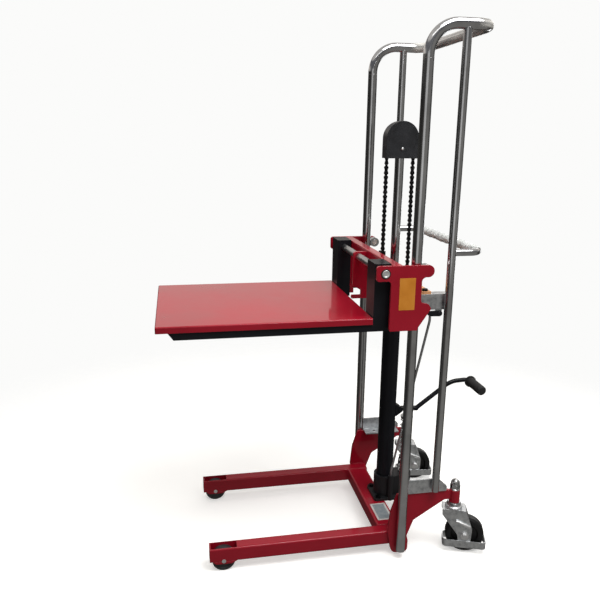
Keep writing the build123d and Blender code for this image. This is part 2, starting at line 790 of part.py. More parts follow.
CLEVIS_IN = HEAD_OUT + 0.2
CLEVIS_OUT = CLEVIS_IN + 4
rib_rear = chain_front - LINK_H / 2 - 4
for node, near_y, far_y, pin_z, stem in (
    ("chain_anchor_front", rib_rear, chain_front + 8, SHEAVE_Z - FRONT_LINKS * CHAIN_PITCH, 45),
    ("chain_anchor_rear", plate_rear, chain_rear + 8, SHEAVE_Z - REAR_LINKS * CHAIN_PITCH, 10),
):
    with BuildPart() as anchor:
        with Locations((0, (near_y + far_y) / 2, pin_z - LINK_H / 2 - 4)):
            Box(2 * CLEVIS_OUT, far_y - near_y, stem, align=(Align.CENTER, Align.CENTER, Align.MAX))
        for cheek in (-1, 1):
            with Locations((cheek * (CLEVIS_IN + CLEVIS_OUT) / 2, (near_y + far_y) / 2, pin_z - LINK_H / 2 - 4)):
                Box(
                    CLEVIS_OUT - CLEVIS_IN,
                    far_y - near_y,
                    LINK_H + 5,
                    align=(Align.CENTER, Align.CENTER, Align.MIN),
                )
    finish(anchor, node)

# Foot pump: lug and pin on the cylinder, pedal, plunger, return spring
EAR_IN = 10
EAR_OUT = 16
with BuildPart() as pedal_lug:
    with Locations((0, CYL_Y, PIVOT_Z)):
        Box(2 * EAR_OUT, CYL_D / 2 + 1.5, 44, align=(Align.CENTER, Align.MIN, Align.CENTER))
    for ear in (-1, 1):
        with BuildSketch(at_x(ear * EAR_IN)):
            with Locations((PIVOT_Y, PIVOT_Z)):
                Circle(11)
            Polygon(
                (CYL_Y + CYL_D / 2, PIVOT_Z - 22),
                (PIVOT_Y + 5, PIVOT_Z - 10),
                (PIVOT_Y + 5, PIVOT_Z + 10),
                (CYL_Y + CYL_D / 2, PIVOT_Z + 22),
                align=None,
            )
        extrude(amount=ear * (EAR_OUT - EAR_IN))
    with Locations((0, CYL_Y, PIVOT_Z)):
        Cylinder(CYL_D / 2 + SEAT, 60, mode=Mode.SUBTRACT)
    with BuildSketch(at_x(0)):
        with Locations((PIVOT_Y, PIVOT_Z)):
            Circle(PIVOT_D / 2)
    extrude(amount=EAR_OUT + 3, both=True)
finish(pedal_lug, "pedal_lug")

PEDAL_Y = POST_Y + PEDAL_REACH
socket = Vector(0, PUMP_Y + 34, PIVOT_Z - 3)
knee = Vector(0, PEDAL_Y - 68, PEDAL_Z - 4)
grip_x = 20
lever_half = EAR_IN - END_PLAY
with BuildPart() as pedal_lever:
    for start, end in (
        ((PIVOT_Y, PIVOT_Z), (PUMP_Y, PIVOT_Z)),
        ((PUMP_Y, PIVOT_Z), (socket.Y, socket.Z)),
    ):
        with BuildSketch(at_x(-lever_half)):
            with Locations(start, end):
                Circle(LEVER_R)
            make_hull()
        extrude(amount=2 * lever_half)
    with BuildSketch(at_x(-lever_half)):
        with Locations((PIVOT_Y, PIVOT_Z)):
            Circle(PIVOT_D / 2 + 5)
        with Locations((PUMP_Y, PIVOT_Z)):
            Circle(PRESS_R)
    extrude(amount=2 * lever_half)
    with BuildLine():
        FilletPolyline(
            socket, knee, (0, PEDAL_Y, PEDAL_Z), (grip_x + GRIP_L - 6, PEDAL_Y, PEDAL_Z), radius=[90, 18]
        )
    with BuildSketch(Plane(origin=socket, z_dir=knee - socket)):
        Circle(PEDAL_BAR_D / 2)
    sweep()
    with BuildSketch(at_x(-lever_half)):
        with Locations((PIVOT_Y, PIVOT_Z)):
            Circle(PIVOT_D / 2 + RUN)
    extrude(amount=2 * lever_half, mode=Mode.SUBTRACT)
finish(pedal_lever, "pedal_lever")

with BuildPart() as pedal_grip:
    turn(
        [
            (grip_x, PEDAL_BAR_D / 2 + SEAT),
            (grip_x, GRIP_COLLAR_D / 2),
            (grip_x + 6, GRIP_COLLAR_D / 2),
            (grip_x + 6, GRIP_D / 2),
            (grip_x + GRIP_L - 5, GRIP_D / 2),
            (grip_x + GRIP_L, GRIP_D / 2 - 5),
            (grip_x + GRIP_L, 0),
            (grip_x + GRIP_L - 5.5, 0),
            (grip_x + GRIP_L - 5.5, PEDAL_BAR_D / 2 + SEAT),
        ],
        (0, PEDAL_Y, PEDAL_Z),
        (1, 0, 0),
    )
finish(pedal_grip, "pedal_grip")

plunger_top = PIVOT_Z - PRESS_R - SEAT
head_foot = plunger_top - 20
with BuildPart() as pump_plunger:
    turn(
        [
            (0, block_top + 26),
            (PLUNGER_D / 2, block_top + 26),
            (PLUNGER_D / 2, head_foot),
            (SPRING_R + 3, head_foot),
            (SPRING_R + 3, head_foot + 4),
            (PLUNGER_D / 2 + 1, head_foot + 6),
            (PLUNGER_D / 2 + 1, plunger_top - 4),
            (PLUNGER_D / 2 - 3, plunger_top),
            (0, plunger_top),
        ],
        (0, PUMP_Y, 0),
    )
finish(pump_plunger, "pump_plunger")

spring_foot = block_top + SPRING_WIRE / 2 + SEAT
spring_head = head_foot - SPRING_WIRE / 2 - SEAT
coil_rise = (spring_head - spring_foot) / SPRING_TURNS
coil_slope = coil_rise / (2 * math.pi * SPRING_R)


def coil_point(turns: float) -> tuple:
    """Point and tangent of the spring's centre line after a number of turns, from the middle of its foot."""
    angle = 2 * math.pi * turns
    point = Vector(SPRING_R * math.cos(angle), SPRING_R * math.sin(angle), coil_rise * turns)
    return point, Vector(-math.sin(angle), math.cos(angle), coil_slope).normalized()


print(f"spring: least gap between turns {coil_rise * math.cos(math.atan(coil_slope)) - SPRING_WIRE:.2f} mm")
with BuildPart() as coil:
    with BuildLine():
        for k in range(2 * SPRING_TURNS):
            p0, t0 = coil_point(k / 2)
            p1, t1 = coil_point((k + 1) / 2)
            v, t, c = p1 - p0, t0 + t1, 2 * (1 - t0.dot(t1))
            d = (math.sqrt(v.dot(t) ** 2 + c * v.dot(v)) - v.dot(t)) / c
            joint = (p0 + t0 * d + p1 - t1 * d) * 0.5
            TangentArc(p0, joint, tangent=t0)
            TangentArc(joint, p1, tangent=(p1 - t1 * d) - (p0 + t0 * d))
    with BuildSketch(Plane(origin=coil_point(0)[0], x_dir=(1, 0, 0), z_dir=coil_point(0)[1])):
        Circle(SPRING_WIRE / 2)
    sweep()
with BuildPart() as return_spring:
    add(coil.part.moved(Location((0, PUMP_Y, spring_foot))))
finish(return_spring, "return_spring")

# Release: lever on the left middle bracket, rod down to the valve
lobe_y = release_y - RELEASE_ARM
with BuildPart() as release_lever:
    with BuildSketch(at_x(lever_x)):
        with Locations((release_y, release_z)):
            Circle(9)
        with Locations((lobe_y, release_z)):
            Circle(8)
        make_hull()
    extrude(amount=-LEVER_T)
    rivet_foot = -BRACKET_T - END_PLAY
    lever_out = END_PLAY + LEVER_T
    turn(
        [
            (rivet_foot - 3, 0),
            (rivet_foot - 3, PIVOT_R + 2),
            (rivet_foot - 2, PIVOT_R + 3),
            (rivet_foot, PIVOT_R + 3),
            (rivet_foot, PIVOT_R),
            (lever_out - 1, PIVOT_R),
            (lever_out - 1, PIVOT_R + 3),
            (lever_out + 2, PIVOT_R + 3),
            (lever_out + 3, PIVOT_R + 2),
            (lever_out + 3, 0),
        ],
        (bracket_x, release_y, release_z),
        (1, 0, 0),
    )
finish(release_lever, "release_lever")

rod_x = lever_x - LEVER_T / 2
with BuildPart() as release_rod:
    with BuildLine():
        FilletPolyline(
            (VALVE_X, CYL_Y + 9, block_top - 12),
            (VALVE_X, CYL_Y + 9, block_top + 32),
            (rod_x, lobe_y, release_z - 24),
            (rod_x, lobe_y, release_z - 8 - SEAT),
            radius=40,
        )
    with BuildSketch(at_z(block_top - 12)):
        with Locations((VALVE_X, CYL_Y + 9)):
            Circle(RELEASE_ROD_D / 2)
    sweep()
finish(release_rod, "release_rod")

# Carriage: side plates, bars, rollers, forks, platform
roller_gap = POST_D / 2 + GROOVE_GAP + THROAT_R
roller_places = {"upper": (POST_Y + roller_gap, UPPER_ROLLER_Z), "lower": (POST_Y - roller_gap, LOWER_ROLLER_Z)}
plate_outline = from_post(
    [
        (-SHAFT_REACH - 28, CARRIAGE_TOP),
        (47, CARRIAGE_TOP),
        (47, UPPER_ROLLER_Z - 18.5),
        (9, UPPER_ROLLER_Z - 18.5),
        (9, CARRIAGE_FOOT + 87),
        (34, CARRIAGE_FOOT + 82),
        (44, CARRIAGE_FOOT + 68),
        (3, CARRIAGE_FOOT + 6),
        (3, CARRIAGE_FOOT),
        (-88, CARRIAGE_FOOT),
        (-88, SHAFT_Z - 23),
        (-SHAFT_REACH - 28, SHAFT_Z - 23),
    ]
)
plate_radii = [9, 18.4, 18.4, 14, 10, 8, 6, 4, 2, 6, 10, 9]
for side, sign in SIDES.items():
    with BuildPart() as carriage_plate:
        with BuildSketch(at_x(sign * plate_x)):
            with BuildLine():
                FilletPolyline(*plate_outline, radius=plate_radii, close=True)
            make_face()
            with Locations((SHAFT_Y, SHAFT_Z)):
                Circle(SHAFT_D / 2 + RUN, mode=Mode.SUBTRACT)
        extrude(amount=sign * PLATE_T)
    finish(carriage_plate, f"carriage_plate_{side}")

    for level, (y, z) in roller_places.items():
        half_w = ROLLER_W / 2
        reach = POST_D / 2 + GROOVE_GAP
        mouth = math.sqrt(reach**2 - (roller_gap - RIM_R) ** 2)
        groove = [mouth * (1 - k / 4) for k in range(9)]
        with BuildPart() as roller:
            turn(
                [
                    (sign * half_w, PIN_D / 2 + RUN),
                    (sign * half_w, RIM_R),
                    *[(sign * a, roller_gap - math.sqrt(reach**2 - a**2)) for a in groove],
                    (-sign * half_w, RIM_R),
                    (-sign * half_w, PIN_D / 2 + 4),
                    (-sign * (half_w - 4), PIN_D / 2 + 4),
                    (-sign * (half_w - 4), PIN_D / 2 + RUN),
                ],
                (sign * POST_X, y, z),
                (1, 0, 0),
            )
        finish(roller, f"{level}_roller_{side}")

with BuildPart() as roller_pins:
    for sign in SIDES.values():
        for y, z in roller_places.values():
            turn(
                [
                    (sign * PLATE_GAP, 0),
                    (sign * PLATE_GAP, PIN_D / 2 + 4),
                    (sign * (ROLLER_W / 2 + END_PLAY), PIN_D / 2 + 4),
                    (sign * (ROLLER_W / 2 + END_PLAY), PIN_D / 2),
                    (-sign * (ROLLER_W / 2 - 4 + END_PLAY), PIN_D / 2),
                    (-sign * (ROLLER_W / 2 - 4 + END_PLAY), PIN_D / 2 + 3),
                    (-sign * (ROLLER_W / 2 - 0.5), PIN_D / 2 + 3),
                    (-sign * (ROLLER_W / 2 - 0.5), 0),
                ],
                (sign * POST_X, y, z),
                (1, 0, 0),
            )
finish(roller_pins, "roller_pins")

bar_front = SHAFT_Y + SHAFT_D / 2 + 15
with BuildPart() as carriage_top_bar:
    with BuildSketch(at_x(0)):
        with Locations((bar_front + TOP_BAR / 2, CARRIAGE_TOP - TOP_BAR / 2)):
            RectangleRounded(TOP_BAR, TOP_BAR, TUBE_R - 2)
            Rectangle(TOP_BAR - 6, TOP_BAR - 6, mode=Mode.SUBTRACT)
    extrude(amount=plate_x, both=True)
finish(carriage_top_bar, "carriage_top_bar")

with BuildPart() as carriage_rib:
    with BuildSketch(at_x(0)):
        with BuildLine():
            FilletPolyline(
                (SHAFT_Y - 19, SHAFT_Z + 17),
                (bar_front, SHAFT_Z + 17),
                (bar_front, CARRIAGE_TOP - TOP_BAR),
                (rib_rear, CARRIAGE_TOP - TOP_BAR),
                (rib_rear, CARRIAGE_TOP - 82),
                (bar_front + 17, CARRIAGE_FOOT + 83),
                (bar_front + 17, CARRIAGE_FOOT + 33),
                (SHAFT_Y - 22, CARRIAGE_FOOT + 33),
                (SHAFT_Y - 22, CARRIAGE_FOOT + 45),
                (SHAFT_Y + 11, CARRIAGE_FOOT + 45),
                (SHAFT_Y + 11, CARRIAGE_FOOT + 62),
                (SHAFT_Y - 19, CARRIAGE_FOOT + 79),
                radius=[9, 0, 0, 0, 4, 10, 4, 3, 3, 3, 3, 9],
                close=True,
            )
        make_face()
        with Locations((SHAFT_Y, SHAFT_Z)):
            Circle(SHAFT_D / 2 + RUN, mode=Mode.SUBTRACT)
    extrude(amount=RIB_T / 2, both=True)
finish(carriage_rib, "carriage_rib")

with BuildPart() as fork_shaft:
    with BuildSketch(at_x(0)):
        with Locations((SHAFT_Y, SHAFT_Z)):
            Circle(SHAFT_D / 2)
    extrude(amount=plate_x + PLATE_T + 2, both=True)
finish(fork_shaft, "fork_shaft")

fork_back = SHAFT_Y + FORK_UPRIGHT_D / 2
arm_top = PLATFORM_TOP - PLATFORM_T
with BuildPart() as heel_stops:
    for sign in SIDES.values():
        with Locations((sign * plate_x, fork_back + 0.5, CARRIAGE_FOOT + 4)):
            Box(
                90,
                16,
                28,
                align=(Align.MAX if sign > 0 else Align.MIN, Align.MIN, Align.MIN),
            )
finish(heel_stops, "heel_stops")

platform_back = POST_Y - platform_rear
tip_top = platform_back - PLATFORM_L + FORK_TIP_SETBACK
for side, sign in SIDES.items():
    with BuildPart() as fork:
        with BuildSketch(at_x(sign * fork_x)):
            Polygon(
                (tip_top, arm_top),
                (tip_top + FORK_TIP_SLANT, arm_top - FORK_ARM_H),
                (fork_back, arm_top - FORK_ARM_H),
                (fork_back, arm_top),
                align=None,
            )
        extrude(amount=-sign * FORK_W)
        with BuildSketch(at_x(sign * (fork_x - FORK_WALL))):
            Polygon(
                (tip_top + 3 * FORK_WALL, arm_top - FORK_WALL),
                (tip_top + FORK_TIP_SLANT + FORK_WALL, arm_top - FORK_ARM_H + FORK_WALL),
                (fork_back, arm_top - FORK_ARM_H + FORK_WALL),
                (fork_back, arm_top - FORK_WALL),
                align=None,
            )
        extrude(amount=-sign * (FORK_W - 2 * FORK_WALL), mode=Mode.SUBTRACT)
        with BuildSketch(at_x(sign * fork_x)):
            with Locations((SHAFT_Y, (arm_top + FORK_TOP) / 2)):
                Rectangle(FORK_UPRIGHT_D, FORK_TOP - arm_top)
        extrude(amount=-sign * FORK_W)
        with BuildSketch(at_x(sign * (fork_x - FORK_WALL))):
            with Locations((SHAFT_Y, (arm_top + FORK_TOP) / 2)):
                Rectangle(FORK_UPRIGHT_D - 2 * FORK_WALL, FORK_TOP - arm_top - 2 * FORK_WALL)
        extrude(amount=-sign * (FORK_W - 2 * FORK_WALL), mode=Mode.SUBTRACT)
        with BuildSketch(at_x(sign * fork_x)):
            with Locations((SHAFT_Y, SHAFT_Z)):
                Circle(SHAFT_D / 2 + RUN)
        extrude(amount=-sign * FORK_W, mode=Mode.SUBTRACT)
    finish(fork, f"fork_{side}")

with BuildPart() as platform:
    with Locations((0, platform_back, PLATFORM_TOP)):
        Box(PLATFORM_W, PLATFORM_L, SKIRT_H, align=(Align.CENTER, Align.MAX, Align.MAX))
    corners = platform.edges().filter_by(Axis.Z).group_by(Axis.Y)[0]
    fillet(corners, radius=5)
    folds = platform.faces().sort_by(Axis.Z)[-1].edges().sort_by(Axis.Y)[:-1]
    fillet(folds, radius=PLATFORM_T + 1)
    with Locations((0, platform_back, PLATFORM_TOP - PLATFORM_T)):
        Box(
            PLATFORM_W - 2 * PLATFORM_T,
            PLATFORM_L - PLATFORM_T,
            SKIRT_H,
            align=(Align.CENTER, Align.MAX, Align.MAX),
            mode=Mode.SUBTRACT,
        )
finish(platform, "platform")
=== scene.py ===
"""Mini stacker: finishes, small pieces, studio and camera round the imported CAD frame."""

from __future__ import annotations

import json
import logging
import math
from collections.abc import Sequence
from dataclasses import dataclass
from enum import Enum

import bmesh
import bpy
from mathutils import Matrix, Vector, noise
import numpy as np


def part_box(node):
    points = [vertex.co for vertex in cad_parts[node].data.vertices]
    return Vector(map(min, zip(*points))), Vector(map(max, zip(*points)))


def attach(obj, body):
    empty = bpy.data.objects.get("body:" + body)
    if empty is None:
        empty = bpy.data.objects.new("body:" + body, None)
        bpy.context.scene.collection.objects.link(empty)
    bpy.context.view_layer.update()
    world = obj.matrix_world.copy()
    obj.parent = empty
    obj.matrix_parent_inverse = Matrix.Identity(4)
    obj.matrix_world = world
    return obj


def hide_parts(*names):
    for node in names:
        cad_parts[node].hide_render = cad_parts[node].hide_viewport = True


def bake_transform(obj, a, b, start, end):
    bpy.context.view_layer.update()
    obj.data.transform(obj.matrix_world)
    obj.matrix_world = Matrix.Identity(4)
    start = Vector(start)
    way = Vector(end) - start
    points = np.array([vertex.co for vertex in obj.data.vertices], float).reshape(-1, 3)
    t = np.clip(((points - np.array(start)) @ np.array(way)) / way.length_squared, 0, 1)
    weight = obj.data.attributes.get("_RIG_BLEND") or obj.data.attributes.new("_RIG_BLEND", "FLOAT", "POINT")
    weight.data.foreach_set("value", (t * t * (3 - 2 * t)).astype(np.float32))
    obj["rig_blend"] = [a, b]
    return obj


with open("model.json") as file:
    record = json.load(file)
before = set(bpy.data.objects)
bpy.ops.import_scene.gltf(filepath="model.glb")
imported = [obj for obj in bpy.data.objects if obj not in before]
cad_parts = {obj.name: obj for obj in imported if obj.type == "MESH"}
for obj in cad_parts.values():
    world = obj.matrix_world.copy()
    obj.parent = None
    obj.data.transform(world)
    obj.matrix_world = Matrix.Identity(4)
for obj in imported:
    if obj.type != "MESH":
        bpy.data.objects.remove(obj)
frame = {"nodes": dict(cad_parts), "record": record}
log = logging.getLogger("mini_stacker")

MM = 0.001
UP = Vector((0, 0, 1))
# Both sides of the object, each with the sign of its X.
SIDES = (("left", 1), ("right", -1))
# Lift, in mm, of a turned piece off the face that it sits on, so that the two never share a plane.
SEAT_LIFT = 0.02
# Name of the point value that says how milky the film is.
VEIL = "film_veil"


class Slot(Enum):
    """Material slots of the record."""

    RED_PAINT = "red_paint"
    BLACK_PAINT = "black_paint"
    CHROME = "chrome"
    ZINC = "zinc"
    PRIMER = "primer"
    STEEL = "steel"
    CHAIN_STEEL = "chain_steel"
    CAST_IRON = "cast_iron"
    COVER_PLASTIC = "cover_plastic"
    GRIP_RUBBER = "grip_rubber"
    WHEEL_NYLON = "wheel_nylon"
    ROLLER_NYLON = "roller_nylon"
    FILM = "film"


class Body(Enum):
    """CAD bodies that new pieces ride on."""

    FRAME = "frame"
    RAM = "ram"
    CARRIAGE = "carriage"
    PLUNGER = "plunger"
    CASTER_LEFT = "caster_left"
    CASTER_RIGHT = "caster_right"


def linear(hex_colour: str) -> tuple[float, float, float, float]:
    """Turn an sRGB hex value into a linear colour.

    Args:
        hex_colour: six hex digits, with or without a leading hash.

    Returns:
        Red, green, blue and alpha, all linear.
    """
    digits = hex_colour.lstrip("#")
    channels = [int(digits[k : k + 2], 16) / 255 for k in (0, 2, 4)]
    red, green, blue = (c / 12.92 if c <= 0.04045 else ((c + 0.055) / 1.055) ** 2.4 for c in channels)
    return red, green, blue, 1.0


def clamp(value: float, low: float = 0.0, high: float = 1.0) -> float:
    """Return the value, held between two limits."""
    return max(low, min(high, value))


def add_node(
    tree: bpy.types.NodeTree,
    kind: str,
    inputs: dict[str | int, object] | None = None,
    stops: tuple[tuple[float, str], ...] = (),
    **settings: object,
) -> bpy.types.Node:
    """Add a shader node with its settings and links.

    Args:
        tree: node tree to add to.
        kind: Blender's name of the node type.
        inputs: value, or socket to link from, for each input by name or index.
        stops: (place, sRGB hex) pairs of a colour ramp.
        settings: attributes of the node itself.

    Returns:
        The new node.
    """
    made = tree.nodes.new(kind)
    for name, value in settings.items():
        setattr(made, name, value)
    for socket, value in (inputs or {}).items():
        if isinstance(value, bpy.types.NodeSocket):
            tree.links.new(value, made.inputs[socket])
        else:
            made.inputs[socket].default_value = value
    for index, (place, colour) in enumerate(stops):
        elements = made.color_ramp.elements
        element = elements[index] if index < len(elements) else elements.new(1.0)
        element.position = place
        element.color = linear(colour)
    return made


@dataclass(frozen=True)
class Finish:
    """One finish: a procedural material named for the real one.

    Attributes:
        name: name of the material.
        colour: main colour, sRGB hex.
        deep: darker shade of its variation.
        pale: lighter shade of its variation.
        patch_mm: size of the shade's patches.
        rough_low: least roughness.
        rough_high: greatest roughness.
    """

    name: str
    colour: str
    deep: str
    pale: str
    patch_mm: float
    rough_low: float
    rough_high: float

    def material(self) -> bpy.types.Material:
        """Give the material, which is made on first use.

        Returns:
            The material.
        """
        found = bpy.data.materials.get(self.name)
        if found is not None:
            return found
        made = bpy.data.materials.new(self.name)
        made.use_nodes = True
        made.node_tree.nodes.clear()
        shader = self.shade(made.node_tree)
        add_node(made.node_tree, "ShaderNodeOutputMaterial", {"Surface": shader.outputs[0]})
        return made

    def shade(self, tree: bpy.types.NodeTree) -> bpy.types.Node:
        """Build the shader of this finish.

        Args:
            tree: node tree of the material.

        Returns:
            The shader node.
        """
        raise NotImplementedError

    def patches(
        self, tree: bpy.types.NodeTree, place: bpy.types.NodeSocket
    ) -> tuple[bpy.types.NodeSocket, bpy.types.NodeSocket]:
        """Add the slow change of shade and gloss over the surface.

        Args:
            tree: node tree of the material.
            place: coordinates on the piece.

        Returns:
            Colour socket and roughness socket.
        """
        cloud = add_node(
            tree,
            "ShaderNodeTexNoise",
            {"Vector": place, "Scale": 1 / (self.patch_mm * MM), "Detail": 4.0, "Roughness": 0.6},
        )
        shades = ((0.3, self.deep), (0.5, self.colour), (0.72, self.pale))
        ramp = add_node(tree, "ShaderNodeValToRGB", {"Fac": cloud.outputs[0]}, shades)
        gloss = add_node(
            tree,
            "ShaderNodeMapRange",
            {
                "Value": cloud.outputs[0],
                "From Min": 0.3,
                "From Max": 0.7,
                "To Min": self.rough_low,
                "To Max": self.rough_high,
            },
        )
        return ramp.outputs[0], gloss.outputs[0]


@dataclass(frozen=True)
class Enamel(Finish):
    """Sprayed enamel on steel: a glossy skin with orange peel, thin and paler on its edges.

    Attributes:
        coat: weight of the clear gloss layer.
        peel_mm: size of the orange peel, drawn coarser than the real 2 mm so that it shows.
        peel_depth_mm: depth of the orange peel.
        edge: colour of the thin paint on an edge.
        edge_mm: radius that rounds the sheet edges in the shading.
        scuff_mm: size of the scuffs that break up the thin paint.
    """

    coat: float = 0.5
    peel_mm: float = 7.0
    peel_depth_mm: float = 0.03
    edge: str = "#D8606A"
    edge_mm: float = 1.6
    scuff_mm: float = 9.0

    def shade(self, tree: bpy.types.NodeTree) -> bpy.types.Node:
        """Build the enamel's shader.

        Args:
            tree: node tree of the material.

        Returns:
            The shader node.
        """
        place = add_node(tree, "ShaderNodeTexCoord").outputs["Object"]
        colour, rough = self.patches(tree, place)
        soft = add_node(tree, "ShaderNodeBevel", {"Radius": self.edge_mm * MM}, samples=6)
        flat = add_node(tree, "ShaderNodeNewGeometry")
        turn = add_node(
            tree,
            "ShaderNodeVectorMath",
            {0: soft.outputs[0], 1: flat.outputs["Normal"]},
            operation="DOT_PRODUCT",
        )
        scuffs = add_node(
            tree,
            "ShaderNodeTexNoise",
            {"Vector": place, "Scale": 1 / (self.scuff_mm * MM), "Detail": 3.0},
        )
        on_edge = add_node(
            tree,
            "ShaderNodeMapRange",
            {"Value": turn.outputs["Value"], "From Min": 0.96, "From Max": 0.82, "To Max": 0.55},
        )
        worn = add_node(
            tree,
            "ShaderNodeMath",
            {0: on_edge.outputs[0], 1: scuffs.outputs[0]},
            operation="MULTIPLY",
            use_clamp=True,
        )
        mixed = add_node(
            tree,
            "ShaderNodeMix",
            {0: worn.outputs[0], 6: colour, 7: linear(self.edge)},
            data_type="RGBA",
        )
        peel = add_node(
            tree,
            "ShaderNodeTexNoise",
            {"Vector": place, "Scale": 1 / (self.peel_mm * MM), "Detail": 2.0, "Roughness": 0.45},
        )
        bump = add_node(
            tree,
            "ShaderNodeBump",
            {
                "Strength": 0.6,
                "Distance": self.peel_depth_mm * MM,
                "Height": peel.outputs[0],
                "Normal": soft.outputs[0],
            },
        )
        return add_node(
            tree,
            "ShaderNodeBsdfPrincipled",
            {
                "Base Color": mixed.outputs[2],
                "Roughness": rough,
                "IOR": 1.5,
                "Specular IOR Level": 0.12,
                "Coat Weight": self.coat,
                "Coat Roughness": 0.05,
                "Coat IOR": 1.5,
                "Normal": bump.outputs[0],
                "Coat Normal": bump.outputs[0],
            },
        )


@dataclass(frozen=True)
class Metal(Finish):
    """Bare or plated metal: grain along or across the piece, smudges and soft edges.

    Attributes:
        grain_mm: spacing of the grain along x, y and z.
        grain_depth_mm: depth of the grain.
        edge_mm: radius that rounds the edges in the shading.
    """

    grain_mm: tuple[float, float, float] = (3.0, 3.0, 3.0)
    grain_depth_mm: float = 0.006
    edge_mm: float = 0.8

    def shade(self, tree: bpy.types.NodeTree) -> bpy.types.Node:
        """Build the metal's shader.

        Args:
            tree: node tree of the material.

        Returns:
            The shader node.
        """
        place = add_node(tree, "ShaderNodeTexCoord").outputs["Object"]
        colour, rough = self.patches(tree, place)
        soft = add_node(tree, "ShaderNodeBevel", {"Radius": self.edge_mm * MM}, samples=4)
        along = add_node(
            tree,
            "ShaderNodeMapping",
            {"Vector": place, "Scale": tuple(1 / (size * MM) for size in self.grain_mm)},
        )
        grain = add_node(
            tree,
            "ShaderNodeTexNoise",
            {"Vector": along.outputs[0], "Scale": 1.0, "Detail": 3.0},
        )
        bump = add_node(
            tree,
            "ShaderNodeBump",
            {
                "Strength": 0.5,
                "Distance": self.grain_depth_mm * MM,
                "Height": grain.outputs[0],
                "Normal": soft.outputs[0],
            },
        )
        return add_node(
            tree,
            "ShaderNodeBsdfPrincipled",
            {"Base Color": colour, "Metallic": 1.0, "Roughness": rough, "Normal": bump.outputs[0]},
        )


@dataclass(frozen=True)
class Moulding(Finish):
    """Moulded plastic, rubber, casting or primer: a fine grain on a dull or satin skin.

    Attributes:
        grain_mm: size of the grain, drawn coarser than the real one so that it shows.
        grain_depth_mm: depth of the grain.
        edge_mm: radius that rounds the edges in the shading.
    """

    grain_mm: float = 2.5
    grain_depth_mm: float = 0.06
    edge_mm: float = 1.2

    def shade(self, tree: bpy.types.NodeTree) -> bpy.types.Node:
        """Build the moulding's shader.

        Args:
            tree: node tree of the material.

        Returns:
            The shader node.
        """
        place = add_node(tree, "ShaderNodeTexCoord").outputs["Object"]
        colour, rough = self.patches(tree, place)
        soft = add_node(tree, "ShaderNodeBevel", {"Radius": self.edge_mm * MM}, samples=4)
        grain = add_node(
            tree,
            "ShaderNodeTexNoise",
            {"Vector": place, "Scale": 1 / (self.grain_mm * MM), "Detail": 3.0, "Roughness": 0.6},
        )
        bump = add_node(
            tree,
            "ShaderNodeBump",
            {
                "Strength": 0.6,
                "Distance": self.grain_depth_mm * MM,
                "Height": grain.outputs[0],
                "Normal": soft.outputs[0],
            },
        )
        return add_node(
            tree,
            "ShaderNodeBsdfPrincipled",
            {"Base Color": colour, "Roughness": rough, "IOR": 1.48, "Normal": bump.outputs[0]},
        )


@dataclass(frozen=True)
class Film(Moulding):
    """Clear stretch film: glossy, with milky streaks along the bar where layers lie over each other.

    Attributes:
        clearest: how far the film hides the bar in a clear streak.
        milkiest: how far it hides it in a milky one.
    """

    clearest: float = 0.06
    milkiest: float = 0.86

    def shade(self, tree: bpy.types.NodeTree) -> bpy.types.Node:
        """Build the film's shader: a moulding's skin that the streaks make more or less clear.

        Args:
            tree: node tree of the material.

        Returns:
            The shader node.
        """
        shader = super().shade(tree)
        streaks = add_node(tree, "ShaderNodeAttribute", attribute_name=VEIL)
        veil = add_node(
            tree,
            "ShaderNodeMapRange",
            {"Value": streaks.outputs["Fac"], "To Min": self.clearest, "To Max": self.milkiest},
        )
        tree.links.new(veil.outputs[0], shader.inputs["Alpha"])
        return shader


# Gloss red enamel over steel sheet and tube: deep red, a wet skin that mirrors the room at a low angle.
RED = Enamel(
    "enamel_gloss_red", "#9A0F24", "#8F0A1F", "#A21429",
    patch_mm=260, rough_low=0.26, rough_high=0.38, coat=0.55,
)
# Satin black enamel on the forks and the cylinder: less gloss, a deep black with a grey sheen on top.
BLACK = Enamel(
    "enamel_satin_black", "#18191D", "#131417", "#1E1F23",
    patch_mm=180, rough_low=0.34, rough_high=0.46, coat=0.1, edge="#3A3B3D", peel_depth_mm=0.02,
)
# Bright chrome plate on drawn tube: a mirror with faint lines along the tube and a few wiped smudges.
CHROME = Metal(
    "chrome_plate", "#C6C7C8", "#B4B5B6", "#D2D3D4",
    patch_mm=90, rough_low=0.07, rough_high=0.16, grain_mm=(8, 8, 260), grain_depth_mm=0.0012,
)
# Bright zinc plate on pressed sheet: cool grey, cloudy from the bath, duller than chrome.
ZINC = Metal(
    "zinc_plate", "#D6D9DB", "#B2B6B9", "#E8EAEB",
    patch_mm=14, rough_low=0.28, rough_high=0.46, grain_mm=(6, 6, 6), grain_depth_mm=0.02,
)
# Zinc-plated screws, axles and pin ends: brighter and cleaner than the sheet.
SCREW = Metal(
    "zinc_fastener", "#EDEEEE", "#DCDDDE", "#F6F6F6",
    patch_mm=12, rough_low=0.34, rough_high=0.5, grain_mm=(2, 2, 2), grain_depth_mm=0.004,
)
# Tan primer on the cross plate: flat and a little chalky.
PRIMER = Moulding(
    "primer_tan", "#D39A6C", "#C58B5E", "#DDA97D",
    patch_mm=60, rough_low=0.5, rough_high=0.68,
)
# Ground and turned steel: fine lines round the shaft, grey and half bright.
STEEL = Metal(
    "steel_turned", "#B2B4B5", "#9B9D9E", "#C6C8C9",
    patch_mm=30, rough_low=0.22, rough_high=0.38, grain_mm=(1.5, 40, 40), grain_depth_mm=0.01,
)
# Oiled chain steel: nearly black, with a wet glint on the plate edges.
CHAIN = Metal(
    "chain_steel_oiled", "#2B2B2D", "#1C1C1D", "#3C3C3E",
    patch_mm=8, rough_low=0.24, rough_high=0.42,
)
